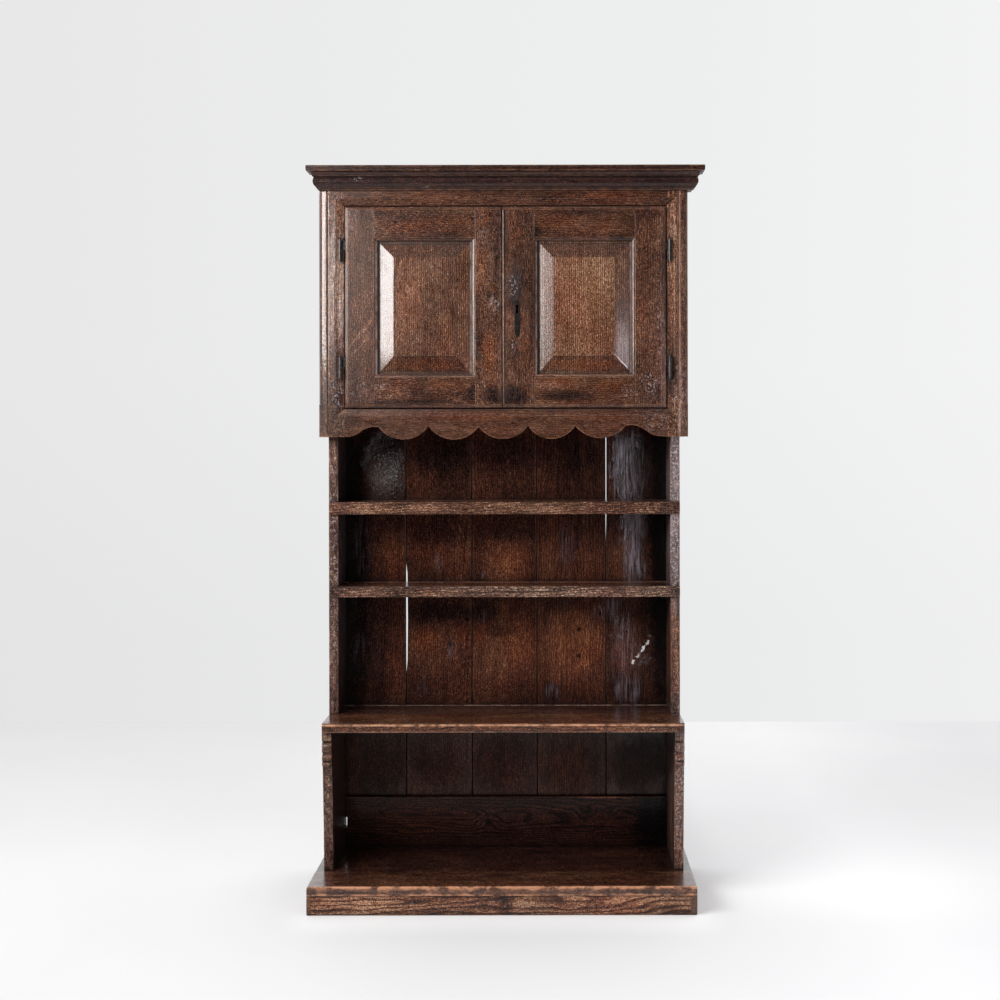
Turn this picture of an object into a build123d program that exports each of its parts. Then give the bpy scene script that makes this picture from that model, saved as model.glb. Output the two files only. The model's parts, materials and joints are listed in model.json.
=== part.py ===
from build123d import *
import math
import os

os.makedirs("parts", exist_ok=True)

# ------------------------------------------------------------------
# Court cupboard: an open rack of plank sides and shelves on a plinth,
# with a two-door cupboard and a moulded cornice on top. Oak and iron.
# Millimetres, +Z up, front faces -Y, origin at the middle of the
# footprint on the floor. "d" below is the depth behind the front edge
# of the plinth: Y = d - DEPTH / 2. "x" is measured from the middle of
# the carcass: X = x + XC, because the cornice sits 8 mm off centre.
# ------------------------------------------------------------------
HEIGHT = 2105.0
DEPTH = 492.0
XC = -8.0

# plinth
PL_HALF = 540.0            # half width
PL_TOP = 80.0              # top of the front board
PL_REAR_TOP = 74.0         # top of the rear board
PL_UNDER = 53.0            # underside of both top boards
PL_SEAM = 153.0            # depth of the seam between them
PL_END_L, PL_END_R = 12.0, 19.0   # thickness of the end boards
PL_FRONT_SET = 1.5         # front board set back under the top

# plank sides
SIDE_OUT = 518.0           # outer face of the sides
SIDE_T = 28.0              # their thickness
SIDE_IN = SIDE_OUT - SIDE_T
RACK_D = 304.0             # front edge of the upper, narrow part
FOOT_D = 193.0             # front edge at the foot
CORBEL_D = 150.0           # front edge of the corbel under the serving shelf
BACK_D = 478.0             # front face of the back boards
REBATE = 13.5              # rebate for the back boards in the sides
CARCASS_TOP = 2036.0

# serving shelf and rack shelves
SERVE_D = 142.0
SERVE_Z0, SERVE_Z1 = 478.0, 505.0
SHELF1_Z0, SHELF1_Z1 = 1093.0, 1130.0
SHELF2_Z0, SHELF2_Z1 = 849.0, 881.0
SHELF_T = 20.0
NOSE_T = 8.0
DADO = 7.0

# cupboard
CUP_OUT = 538.5            # outer face of the cupboard
CUP_D = 231.0              # face of the front frame
CUP_T = 30.0               # thickness of the front frame
CUP_Z0 = 1321.0            # lower end of the stiles
OPEN_X0, OPEN_X1 = -463.0, 477.0     # door opening
OPEN_Z0, OPEN_Z1 = 1403.0, 1994.0
OVOLO_R = 26.5             # rounded outer corner
QUIRK = 3.0
OVOLO_Z0 = 1416.0          # where the rounded corner stops
CHAMFER = 22.0
MOULD = 22.0               # bevelled margin round the opening

# doors
DOOR_FACE = 229.0
DOOR_T = 28.0
DOOR_BACK = DOOR_FACE + DOOR_T
THUMB = 9.0                # rounded outer edge of the doors
STICK = 10.0               # moulded inner edge of the door frames
STICK_DEPTH = 12.0
FIELD_D = 229.6
GROOVE = 9.0
TONGUE_T = 8.0

# hinges
PIN_D = 226.5
BARREL_R = 6.0
PIN_R = 2.5
PIN_CLEAR = 0.08
HINGE_X_L, HINGE_X_R = -473.0, 484.5
HINGE_Z = (1523.0, 1863.0)
HINGE_H = 60.0

# cornice, in the frame of the whole piece
COR_HALF = 576.0
COR_D = 190.0
COR_Z0 = CARCASS_TOP


def pt(x, d, z):
    return Vector(x + XC, d - DEPTH / 2, z)


def box(x0, x1, d0, d1, z0, z1):
    return Pos((x0 + x1) / 2 + XC, (d0 + d1) / 2 - DEPTH / 2, (z0 + z1) / 2) * Box(
        abs(x1 - x0), abs(d1 - d0), abs(z1 - z0)
    )


def outline(path, place):
    """A closed face. path is a list of (u, v) corners; ("arc", (mu, mv), (u, v)) is an arc through a point."""
    edges = []
    start = path[0]
    here = start
    for step in list(path[1:]) + [start]:
        if step[0] == "arc":
            edges.append(
                Edge.make_three_point_arc(place(*here), place(*step[1]), place(*step[2]))
            )
            here = step[2]
        else:
            if math.dist(step, here) > 1e-6:
                edges.append(Edge.make_line(place(*here), place(*step)))
            here = step
    return Face(Wire(edges))


def along_y(path, d0, d1):
    """(x, z) outline run from depth d0 to d1."""
    face = outline(path, lambda x, z: pt(x, d0, z))
    return Part() + Solid.extrude(face, Vector(0, d1 - d0, 0))


def along_x(path, x0, x1):
    """(d, z) outline run from x0 to x1."""
    face = outline(path, lambda d, z: pt(x0, d, z))
    return Part() + Solid.extrude(face, Vector(x1 - x0, 0, 0))


def along_z(path, z0, z1):
    """(x, d) outline run from z0 to z1."""
    face = outline(path, lambda x, d: pt(x, d, z0))
    return Part() + Solid.extrude(face, Vector(0, 0, z1 - z0))


def stepped(sections):
    """A solid whose outline at each depth is a rectangle. sections: (d, x0, x1, z0, z1), front to back."""
    xs = [(s[1], s[0]) for s in sections] + [(s[2], s[0]) for s in reversed(sections)]
    zs = [(s[0], s[3]) for s in sections] + [(s[0], s[4]) for s in reversed(sections)]
    zlo = min(s[3] for s in sections) - 5
    zhi = max(s[4] for s in sections) + 5
    xlo = min(s[1] for s in sections) - 5
    xhi = max(s[2] for s in sections) + 5
    return along_z(xs, zlo, zhi) & along_x(zs, xlo, xhi)


def cyl_y(x, d0, d1, z, r):
    """Round bar from depth d0 to d1."""
    c = Solid.make_cylinder(r, d1 - d0, Plane(origin=pt(x, d0, z), z_dir=(0, 1, 0)))
    return Part() + c


def cyl_z(x, d, z0, z1, r):
    return Part() + Solid.make_cylinder(r, z1 - z0, Plane(origin=pt(x, d, z0), z_dir=(0, 0, 1)))


def cyl_x(x0, x1, d, z, r):
    return Part() + Solid.make_cylinder(r, x1 - x0, Plane(origin=pt(x0, d, z), z_dir=(1, 0, 0)))


def dome(x, d, z, direction, r, cut):
    """A round nail head: the part of a sphere above a plane at cut times its radius. x, d, z is the middle of the flat side."""
    v = Vector(*direction)
    origin = pt(x, d, z) - v * (r * cut)
    return Part() + Solid.make_sphere(
        r, Plane(origin=origin, z_dir=direction), math.degrees(math.asin(cut)), 90, 360
    )


def soften(part, radius, chooser):
    """Rounds the chosen straight edges of a part."""
    edges = [e for e in part.edges() if chooser(e)]
    return fillet(edges, radius) if edges else part


nodes = {}


def keep(name, *shapes):
    if len(shapes) == 1:
        nodes[name] = shapes[0]
    else:
        nodes[name] = Compound(label=name, children=[Compound(s.solids()) if len(s.solids()) > 1 else s.solid() for s in shapes])


# ------------------------------------------------------------ plinth
front_top = box(-PL_HALF, PL_HALF, 0, PL_SEAM, PL_UNDER, PL_TOP)
front_top = soften(
    front_top,
    5.0,
    lambda e: abs(e.center().Y - (0 - DEPTH / 2)) < 0.1
    and abs(abs(e.center().X - XC) - PL_HALF) < 0.1,
)
front_top = chamfer(
    [e for e in front_top.edges() if e.center().Z > PL_TOP - 0.1 and e.center().Y < -DEPTH / 2 + 6],
    2.0,
)
keep("plinth_top_front", front_top)
keep("plinth_top_rear", box(-PL_HALF, PL_HALF, PL_SEAM, DEPTH, PL_UNDER, PL_REAR_TOP))

plinth_front = box(-PL_HALF + PL_END_L, PL_HALF - PL_END_R, PL_FRONT_SET, 26, 0, PL_UNDER)
keep("plinth_front", plinth_front)
end_l = box(-PL_HALF, -PL_HALF + PL_END_L, PL_FRONT_SET, DEPTH, 0, PL_UNDER)
end_r = box(PL_HALF - PL_END_R, PL_HALF, PL_FRONT_SET, DEPTH, 0, PL_UNDER)


def end_corner(part, sx):
    return soften(
        part,
        4.0,
        lambda e: abs(e.center().Y - (PL_FRONT_SET - DEPTH / 2)) < 0.1
        and abs(e.center().X - (sx * PL_HALF + XC)) < 0.1,
    )


keep("plinth_end_left", end_corner(end_l, -1))
keep("plinth_end_right", end_corner(end_r, 1))
keep("plinth_back", box(-PL_HALF + PL_END_L, PL_HALF - PL_END_R, DEPTH - 22, DEPTH, 0, PL_UNDER))
keep(
    "plinth_bearers",
    box(-200, -178, 26, DEPTH - 22, 8, PL_UNDER),
    box(178, 200, 26, DEPTH - 22, 8, PL_UNDER),
)

# ------------------------------------------------------- plank sides
Z_FOOT = PL_REAR_TOP
corbel = [
    (FOOT_D, Z_FOOT),
    (FOOT_D - 3.0, 130.0),
    (FOOT_D - 10.0, 220.0),
    (FOOT_D - 20.0, 320.0),
    (FOOT_D - 27.0, 376.0),
    (FOOT_D - 30.0, 380.0),
    (CORBEL_D + 7.0, 381.5),
    ("arc", (CORBEL_D + 2.5, 386.5), (CORBEL_D + 7.0, 391.5)),
    (CORBEL_D + 9.0, 392.5),
    ("arc", (CORBEL_D + 3.0, 402.0), (CORBEL_D + 6.5, 412.5)),
    (CORBEL_D + 10.0, 413.5),
    (CORBEL_D + 10.0, 417.0),
    (CORBEL_D + 6.0, 418.0),
    ("arc", (CORBEL_D - 1.0, 432.0), (CORBEL_D + 5.0, 446.5)),
    (CORBEL_D + 9.0, 447.5),
    (CORBEL_D + 9.0, 451.5),
    (CORBEL_D + 2.0, 452.5),
    (CORBEL_D + 2.0, 464.0),
    (CORBEL_D, 465.0),
    (CORBEL_D, SERVE_Z0),
    (RACK_D, SERVE_Z0),
    (RACK_D, CARCASS_TOP),
    (DEPTH, CARCASS_TOP),
    (DEPTH, Z_FOOT),
]


def side(sign):
    x_out, x_in = sign * SIDE_OUT, sign * SIDE_IN
    lo, hi = min(x_out, x_in), max(x_out, x_in)
    s = along_x(corbel, lo, hi)
    # rebate for the back boards
    reb = sign * (SIDE_IN + REBATE)
    s -= box(min(x_in, reb) - (0 if sign > 0 else 0), max(x_in, reb), BACK_D, DEPTH + 5, Z_FOOT - 5, CARCASS_TOP + 5)
    # housings for the shelves and the rear half of the serving shelf
    h = sign * (SIDE_IN + DADO)
    a, b = min(x_in, h), max(x_in, h)
    s -= box(a, b, RACK_D - 5, BACK_D, SERVE_Z0, SERVE_Z1)
    for z1 in (SHELF1_Z1, SHELF2_Z1):
        s -= box(a, b, RACK_D - 5, BACK_D, z1 - SHELF_T, z1)
    return s


side_l, side_r = side(-1), side(1)

# --------------------------------------------------- serving shelf
serve_front = box(-SIDE_OUT, SIDE_OUT, SERVE_D, RACK_D, SERVE_Z0, SERVE_Z1)
serve_front = soften(
    serve_front,
    7.0,
    lambda e: abs(e.center().Y - (SERVE_D - DEPTH / 2)) < 0.1
    and abs(abs(e.center().X - XC) - SIDE_OUT) < 0.1,
)
serve_front = fillet(
    [e for e in serve_front.edges() if e.center().Z > SERVE_Z1 - 0.1 and e.center().Y < SERVE_D - DEPTH / 2 + 8],
    3.0,
)
keep("serving_shelf_front", serve_front)
keep(
    "serving_shelf_rear",
    box(-SIDE_IN - DADO, SIDE_IN + DADO, RACK_D, BACK_D, SERVE_Z0, SERVE_Z1),
)

# ------------------------------------------------------ rack shelves
for label, z0, z1 in (("upper", SHELF1_Z0, SHELF1_Z1), ("lower", SHELF2_Z0, SHELF2_Z1)):
    keep(
        f"{label}_shelf",
        box(-SIDE_IN - DADO, SIDE_IN + DADO, RACK_D, BACK_D, z1 - SHELF_T, z1),
    )
    nose = box(-SIDE_OUT + 2, SIDE_OUT, RACK_D - NOSE_T, RACK_D, z0, z1)
    nose = fillet(
        [e for e in nose.edges() if abs(e.center().Y - (RACK_D - NOSE_T - DEPTH / 2)) < 0.1],
        1.6,
    )
    nodes[f"{label}_shelf_nosing"] = nose

# ------------------------------------------------------- back boards
seams = [-(SIDE_IN + REBATE), -306.0, -104.5, 94.6, 305.7, SIDE_IN + REBATE]
V = 1.6


def board(x0, x1, left=None, right=None, v_left=True, v_right=True):
    """A back board; left and right are (x, z) points of an edge that has shrunk or warped."""
    z0, z1 = PL_REAR_TOP, CARCASS_TOP
    path = [(x0, z0), (x1, z0)]
    path += right or []
    path += [(x1, z1), (x0, z1)]
    path += left or []
    b = along_y(path, BACK_D, DEPTH)
    # the front arrises are eased, which leaves a V between two boards
    for x, on in ((x0, v_left), (x1, v_right)):
        if on:
            b -= along_z([(x - V, BACK_D - 0.01), (x, BACK_D + V), (x + V, BACK_D - 0.01)], z0 - 1, z1 + 1)
    return b


b1 = board(seams[0], seams[1], v_left=False)
b2 = board(
    seams[1],
    seams[2],
    left=[(seams[1], 940.0), (seams[1] + 3.6, 905.0), (seams[1] + 4.4, 760.0), (seams[1] + 3.4, 640.0), (seams[1], 600.0)],
)
b3 = board(seams[2], seams[3])
b4 = board(seams[3], seams[4])
b5 = board(
    seams[4],
    seams[5],
    left=[(seams[4], 1400.0), (seams[4] + 1.9, 1330.0), (seams[4] + 1.7, 1100.0), (seams[4], 990.0)],
    v_right=False,
)
# a chip at the lower outer corner of the first board
b1 -= box(-SIDE_IN - 1, -SIDE_IN + 4.0, BACK_D - 1, DEPTH + 1, 131, 163)
for i, b in enumerate((b1, b2, b3, b4, b5), 1):
    keep(f"back_board_{i}", b)

skirt = box(-SIDE_IN, SIDE_IN, 458.0, BACK_D, PL_REAR_TOP, 225.0)
skirt -= box(-SIDE_IN - 1, -SIDE_IN + 4.0, 450, BACK_D + 1, 131, 163)
keep("lower_back_board", skirt)

# ------------------------------------------------- cupboard carcass
def panel_side(sign):
    a, b = sorted((sign * SIDE_OUT, sign * CUP_OUT))
    return box(a, b, CUP_D + CUP_T, DEPTH, CUP_Z0, CARCASS_TOP)


keep("cupboard_side_left", panel_side(-1))
keep("cupboard_side_right", panel_side(1))

floor = box(-SIDE_IN, SIDE_IN, CUP_D + CUP_T, BACK_D, OPEN_Z0 - 18, OPEN_Z0) + box(
    -SIDE_OUT, SIDE_OUT, CUP_D + CUP_T, RACK_D, OPEN_Z0 - 18, OPEN_Z0
)
keep("cupboard_floor", floor)
inner = box(-SIDE_IN, SIDE_IN, 300.0, BACK_D, 1700.0, 1718.0)
keep("cupboard_inner_shelf", inner)
keep(
    "inner_shelf_cleats",
    box(-SIDE_IN, -SIDE_IN + 20, 310, BACK_D - 6, 1676, 1700),
    box(SIDE_IN - 20, SIDE_IN, 310, BACK_D - 6, 1676, 1700),
)
# door stops behind the rails; the upper one takes the slide bolt of the left door
BOLT_X = -42.0
stop_top = box(-440, 455, DOOR_BACK + 0.6, CUP_D + CUP_T + 14, 1985.0, 1993.0) + box(
    -440, 455, CUP_D + CUP_T, CUP_D + CUP_T + 14, 1993.0, 2020.0
)
stop_top -= box(BOLT_X - 6.5, BOLT_X + 6.5, 255.0, 266.2, 1980.0, 2006.0)
keep("door_stop_top", stop_top)

# ------------------------------------------------------ front frame
ZM0, ZM1 = OPEN_Z0, OPEN_Z1
slab = along_z(
    [
        (-CUP_OUT, CUP_D + CUP_T),
        (-CUP_OUT, CUP_D + OVOLO_R),
        ("arc", (-CUP_OUT + OVOLO_R * (1 - math.sqrt(0.5)), CUP_D + OVOLO_R * (1 - math.sqrt(0.5))), (-CUP_OUT + OVOLO_R, CUP_D)),
        (-CUP_OUT + OVOLO_R, CUP_D + 3.0),
        (-CUP_OUT + OVOLO_R + QUIRK, CUP_D + 3.0),
        (-CUP_OUT + OVOLO_R + QUIRK, CUP_D),
        (CUP_OUT - OVOLO_R - QUIRK, CUP_D),
        (CUP_OUT - OVOLO_R - QUIRK, CUP_D + 3.0),
        (CUP_OUT - OVOLO_R, CUP_D + 3.0),
        (CUP_OUT - OVOLO_R, CUP_D),
        ("arc", (CUP_OUT - OVOLO_R * (1 - math.sqrt(0.5)), CUP_D + OVOLO_R * (1 - math.sqrt(0.5))), (CUP_OUT, CUP_D + OVOLO_R)),
        (CUP_OUT, CUP_D + CUP_T),
    ],
    OVOLO_Z0,
    CARCASS_TOP,
) + along_z(
    [
        (-CUP_OUT, CUP_D + CUP_T),
        (-CUP_OUT, CUP_D + CHAMFER),
        (-CUP_OUT + CHAMFER, CUP_D),
        (CUP_OUT - CHAMFER, CUP_D),
        (CUP_OUT, CUP_D + CHAMFER),
        (CUP_OUT, CUP_D + CUP_T),
    ],
    CUP_Z0 - 20,
    OVOLO_Z0,
)
opening = stepped(
    [
        (CUP_D - 2, OPEN_X0 - MOULD, OPEN_X1 + MOULD, OPEN_Z0 - MOULD + 2, OPEN_Z1 + MOULD - 2),
        (CUP_D + 1.0, OPEN_X0 - MOULD, OPEN_X1 + MOULD, OPEN_Z0 - MOULD + 2, OPEN_Z1 + MOULD - 2),
        (CUP_D + 5.0, OPEN_X0, OPEN_X1, OPEN_Z0, OPEN_Z1),
        (CUP_D + CUP_T + 2, OPEN_X0, OPEN_X1, OPEN_Z0, OPEN_Z1),
    ]
)
slab -= opening

# lower edge: plain at the stiles, an ogee, then five lobes with sharp cusps
lower_edge = [
    (-CUP_OUT - 5, CUP_Z0),
    (OPEN_X0 + 4, CUP_Z0),
    ("arc", (-438.0, 1323.8), (-419.0, 1333.5)),
    ("arc", (-402.0, 1344.5), (-381.0, 1350.0)),
    (-364.0, 1350.5),
    ("arc", (-289.0, 1313.6), (-217.5, 1352.0)),
    ("arc", (-137.0, 1313.2), (-72.2, 1350.0)),
    ("arc", (2.5, 1314.6), (71.3, 1353.2)),
    ("arc", (133.0, 1315.0), (208.7, 1352.8)),
    ("arc", (283.0, 1317.0), (356.0, 1353.5)),
    (372.0, 1355.0),
    ("arc", (398.0, 1348.5), (418.0, 1336.5)),
    ("arc", (438.0, 1325.5), (462.0, CUP_Z0 + 1.0)),
    (OPEN_X1, CUP_Z0),
    (CUP_OUT + 5, CUP_Z0),
    (CUP_OUT + 5, CUP_Z0 - 40),
    (-CUP_OUT - 5, CUP_Z0 - 40),
]
slab -= along_y(lower_edge, CUP_D - 5, CUP_D + CUP_T + 5)

m = MOULD
stile_l_zone = along_y(
    [
        (-CUP_OUT - 5, CUP_Z0 - 30),
        (OPEN_X0, CUP_Z0 - 30),
        (OPEN_X0, OPEN_Z0 - m + 2),
        (OPEN_X0 - m, OPEN_Z0 - m + 2),
        (OPEN_X0, OPEN_Z0),
        (OPEN_X0, OPEN_Z1),
        (OPEN_X0 - m, OPEN_Z1 + m - 2),
        (OPEN_X0, OPEN_Z1 + m - 2),
        (OPEN_X0, CARCASS_TOP + 5),
        (-CUP_OUT - 5, CARCASS_TOP + 5),
    ],
    CUP_D - 5,
    CUP_D + CUP_T + 5,
)
stile_r_zone = along_y(
    [
        (CUP_OUT + 5, CUP_Z0 - 30),
        (OPEN_X1, CUP_Z0 - 30),
        (OPEN_X1, OPEN_Z0 - m + 2),
        (OPEN_X1 + m, OPEN_Z0 - m + 2),
        (OPEN_X1, OPEN_Z0),
        (OPEN_X1, OPEN_Z1),
        (OPEN_X1 + m, OPEN_Z1 + m - 2),
        (OPEN_X1, OPEN_Z1 + m - 2),
        (OPEN_X1, CARCASS_TOP + 5),
        (CUP_OUT + 5, CARCASS_TOP + 5),
    ],
    CUP_D - 5,
    CUP_D + CUP_T + 5,
)
stile_l = slab & stile_l_zone
stile_r = slab & stile_r_zone
rest = slab - stile_l_zone - stile_r_zone
frieze = rest & box(-CUP_OUT, CUP_OUT, CUP_D - 5, CUP_D + CUP_T + 5, 1700, CARCASS_TOP + 5)
apron = rest & box(-CUP_OUT, CUP_OUT, CUP_D - 5, CUP_D + CUP_T + 5, 1200, 1700)
# tenons
TEN_D0, TEN_D1 = CUP_D + 10, CUP_D + 20
TEN = 42.0
for x, s in ((OPEN_X0, -1), (OPEN_X1, 1)):
    a, b = sorted((x, x + s * TEN))
    ten_f = box(a, b, TEN_D0, TEN_D1, OPEN_Z1 + 3, CARCASS_TOP - 8)
    ten_a = box(a, b, TEN_D0, TEN_D1, CUP_Z0 + 14, OPEN_Z0 - 4)
    frieze += ten_f
    apron += ten_a
    if s < 0:
        stile_l = stile_l - ten_f - ten_a
    else:
        stile_r = stile_r - ten_f - ten_a
# oak pegs through the joints, a little proud of the face
PEG_R = 3.6
frame_pegs = []
for x, z, part in (
    (OPEN_X0 - 24, 2021.0, "fl"),
    (OPEN_X1 + 22, 2022.0, "fr"),
    (OPEN_X0 - 21, 1352.0, "al"),
    (OPEN_X0 - 25, 1378.0, "al"),
    (OPEN_X1 + 24, 1349.0, "ar"),
    (OPEN_X1 + 20, 1376.0, "ar"),
):
    hole = cyl_y(x, CUP_D - 3, CUP_D + 24, z, PEG_R)
    frame_pegs.append(cyl_y(x, CUP_D - 0.7, CUP_D + 24, z, PEG_R))
    if part[0] == "f":
        frieze -= hole
    else:
        apron -= hole
    if part[1] == "l":
        stile_l -= hole
    else:
        stile_r -= hole
keep("frame_pegs", *frame_pegs)

# ---------------------------------------------------------- hinges
frame_leaves, door_leaves, pins = {"l": [], "r": []}, {"l": [], "r": []}, {"l": [], "r": []}
slots_frame, slots_door = {"l": [], "r": []}, {"l": [], "r": []}
LEAF_T = 1.6
for key, ax, sgn in (("l", HINGE_X_L, 1), ("r", HINGE_X_R, -1)):
    door_edge = OPEN_X0 + 1.5 if key == "l" else OPEN_X1 - 1.5
    for zc in HINGE_Z:
        z0, z1 = zc - HINGE_H / 2, zc + HINGE_H / 2
        zm = zc
        low = cyl_z(ax, PIN_D, z0, zm - 0.25, BARREL_R)
        leaf_f = box(ax - LEAF_T / 2, ax + LEAF_T / 2, PIN_D + 3.6, CUP_D + 25, z0 + 1, zm - 1.5)
        low += leaf_f
        pin = cyl_z(ax, PIN_D, z0 + 2, z1 + 3.5, PIN_R)
        low -= cyl_z(ax, PIN_D, z0 + 2, z1 + 10, PIN_R)
        # pin with a small button finial above the upper knuckle
        tip = Part() + Solid.make_sphere(3.4, Plane(origin=pt(ax, PIN_D, z1 + 4.2)))
        pin = pin + tip
        foot = cyl_z(ax, PIN_D, z0 - 4, z0, 3.6)
        low += foot
        up = cyl_z(ax, PIN_D, zm + 0.25, z1, BARREL_R)
        x_far = door_edge + sgn * 24
        a, b = sorted((ax, x_far))
        leaf_d = box(a, b, PIN_D + 5.0 - 0.4, PIN_D + 5.0 + LEAF_T - 0.4, zm + 1.5, z1 - 1)
        up += leaf_d
        up -= cyl_z(ax, PIN_D, z0, z1 + 10, PIN_R + PIN_CLEAR)
        frame_leaves[key].append(low)
        door_leaves[key].append(up)
        pins[key].append(pin)
        slots_frame[key].append(leaf_f)
        slots_door[key].append(leaf_d)
for sl in slots_frame["l"]:
    stile_l -= sl
for sl in slots_frame["r"]:
    stile_r -= sl
keep("front_stile_left", stile_l)
keep("front_stile_right", stile_r)
keep("frieze_rail", frieze)
keep("scalloped_apron", apron)
keep("frame_hinge_knuckles", *(frame_leaves["l"] + frame_leaves["r"]))
keep("hinge_pins", *(pins["l"] + pins["r"]))

# ----------------------------------------------------------- doors
DZ0, DZ1 = OPEN_Z0 + 2.0, OPEN_Z1 - 1.8
RAIL_T_Z, RAIL_B_Z = 1900.0, 1495.0      # inner edges of the rails, at the face


def ovolo_steps(r, n=7):
    """(depth behind the face, distance in from the edge) along a quarter round with a small fillet."""
    out = [(0.0, r + 1.2), (1.0, r + 1.2)]
    for i in range(1, n + 1):
        a = math.pi / 2 * (1 - i / n)
        out.append((1.0 + r * (1 - math.sin(a)), r - r * math.cos(a)))
    return out


def door(key, x0, x1, hinge_left, s_in0, s_in1):
    thumb = ovolo_steps(THUMB - 1.2)
    # outer body
    secs = []
    for dd, inset in thumb:
        hx0 = x0 + (inset if hinge_left else 0)
        hx1 = x1 - (0 if hinge_left else inset)
        secs.append((DOOR_FACE + dd, hx0, hx1, DZ0 + inset, DZ1 - inset))
    secs.append((DOOR_BACK, x0, x1, DZ0, DZ1))
    body = stepped(secs)
    # moulded inner edge: a small fillet, then a quarter round down to the panel
    cut = [(DOOR_FACE - 2, 0.0), (DOOR_FACE + 1.2, 0.0)]
    rr = STICK - 1.5
    n = 7
    cut.append((DOOR_FACE + 1.2, 1.5))
    for i in range(1, n + 1):
        a = math.pi / 2 * i / n
        cut.append((DOOR_FACE + 1.2 + rr * (1 - math.cos(a)), 1.5 + rr * math.sin(a)))
    cut.append((DOOR_BACK + 2, STICK))
    hole = stepped(
        [(dd, s_in0 + t, s_in1 - t, RAIL_B_Z + t, RAIL_T_Z - t) for dd, t in cut]
    )
    body -= hole
    gx0, gx1 = s_in0 + STICK - GROOVE, s_in1 - STICK + GROOVE
    gz0, gz1 = RAIL_B_Z + STICK - GROOVE, RAIL_T_Z - STICK + GROOVE
    g0 = DOOR_FACE + STICK_DEPTH
    body -= box(gx0, gx1, g0, g0 + TONGUE_T, gz0, gz1)
    # stiles and rails meet square, with the moulding mitred
    k = STICK
    zone_l = along_y(
        [
            (x0 - 5, DZ0 - 5),
            (s_in0, DZ0 - 5),
            (s_in0, RAIL_B_Z),
            (s_in0 + k, RAIL_B_Z + k),
            (s_in0 + k, RAIL_T_Z - k),
            (s_in0, RAIL_T_Z),
            (s_in0, DZ1 + 5),
            (x0 - 5, DZ1 + 5),
        ],
        DOOR_FACE - 5,
        DOOR_BACK + 5,
    )
    zone_r = along_y(
        [
            (x1 + 5, DZ0 - 5),
            (s_in1, DZ0 - 5),
            (s_in1, RAIL_B_Z),
            (s_in1 - k, RAIL_B_Z + k),
            (s_in1 - k, RAIL_T_Z - k),
            (s_in1, RAIL_T_Z),
            (s_in1, DZ1 + 5),
            (x1 + 5, DZ1 + 5),
        ],
        DOOR_FACE - 5,
        DOOR_BACK + 5,
    )
    st_l, st_r = body & zone_l, body & zone_r
    rest = body - zone_l - zone_r
    top = rest & box(x0 - 5, x1 + 5, DOOR_FACE - 5, DOOR_BACK + 5, 1750, DZ1 + 5)
    bot = rest & box(x0 - 5, x1 + 5, DOOR_FACE - 5, DOOR_BACK + 5, DZ0 - 5, 1650)
    # tenons in the plane of the panel groove
    pegs = []
    for side_name, xs, sg, width in (
        ("l", s_in0, -1, s_in0 - x0),
        ("r", s_in1, 1, x1 - s_in1),
    ):
        ln = width - 28
        a, b = sorted((xs, xs + sg * ln))
        t_top = box(a, b, g0, g0 + TONGUE_T, RAIL_T_Z + 8, DZ1 - 20)
        t_bot = box(a, b, g0, g0 + TONGUE_T, DZ0 + 18, RAIL_B_Z - 8)
        top += t_top
        bot += t_bot
        if side_name == "l":
            st_l = st_l - t_top - t_bot
        else:
            st_r = st_r - t_top - t_bot
        for zz in (RAIL_T_Z + 24, DZ1 - 34, DZ0 + 28, RAIL_B_Z - 22):
            xp = xs + sg * 18
            hole = cyl_y(xp, DOOR_FACE - 2, DOOR_FACE + 25, zz, 3.2)
            pegs.append(cyl_y(xp, DOOR_FACE - 0.5, DOOR_FACE + 25, zz, 3.2))
            if side_name == "l":
                st_l -= hole
            else:
                st_r -= hole
            if zz > 1700:
                top -= hole
            else:
                bot -= hole
    # fielded panel: tongue, flat margin, low step, wide bevel, fine step, field
    gap = 1.0
    mgn = STICK + 7.0
    bev = 39.0
    px0, px1 = gx0 + gap, gx1 - gap
    pz0, pz1 = gz0 + gap, gz1 - gap
    bx0, bx1 = s_in0 + mgn, s_in1 - mgn
    bz0, bz1 = RAIL_B_Z + mgn, RAIL_T_Z - mgn
    panel = stepped(
        [
            (FIELD_D, bx0 + bev, bx1 - bev, bz0 + bev + 5, bz1 - bev),
            (FIELD_D + 1.6, bx0 + bev, bx1 - bev, bz0 + bev + 5, bz1 - bev),
            (g0 - 1.4, bx0, bx1, bz0, bz1),
            (g0, bx0, bx1, bz0, bz1),
            (g0, px0, px1, pz0, pz1),
            (g0 + TONGUE_T, px0, px1, pz0, pz1),
        ]
    )
    for sl in slots_door[key]:
        if hinge_left:
            st_l -= sl
        else:
            st_r -= sl
    return st_l, st_r, top, bot, panel, pegs


# left door: hinged on its left edge
L = door("l", OPEN_X0 + 1.5, -4.3, True, -375.0, -81.5)
keep("left_door_hinge_stile", L[0])
keep("left_door_meeting_stile", L[1])
keep("left_door_top_rail", L[2])
keep("left_door_bottom_rail", L[3])
keep("left_door_panel", L[4])
keep("left_door_pegs", *L[5])
keep("left_door_hinge_knuckles", *door_leaves["l"])

# right door: hinged on its right edge, with the lock
R = door("r", -2.3, OPEN_X1 - 1.5, False, 89.5, 383.0)
KEY_X, KEY_Z = 41.0, 1700.0
meet = R[0]


def keyhole(x, z, d0, d1, grow=0.0):
    hole = cyl_y(x, d0, d1, z, 4.2 + grow)
    return hole + along_y(
        [(x - 2.2 - grow, z), (x + 2.2 + grow, z), (x + 3.6 + grow, z - 20 - grow), (x - 3.6 - grow, z - 20 - grow)],
        d0,
        d1,
    )


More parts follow.
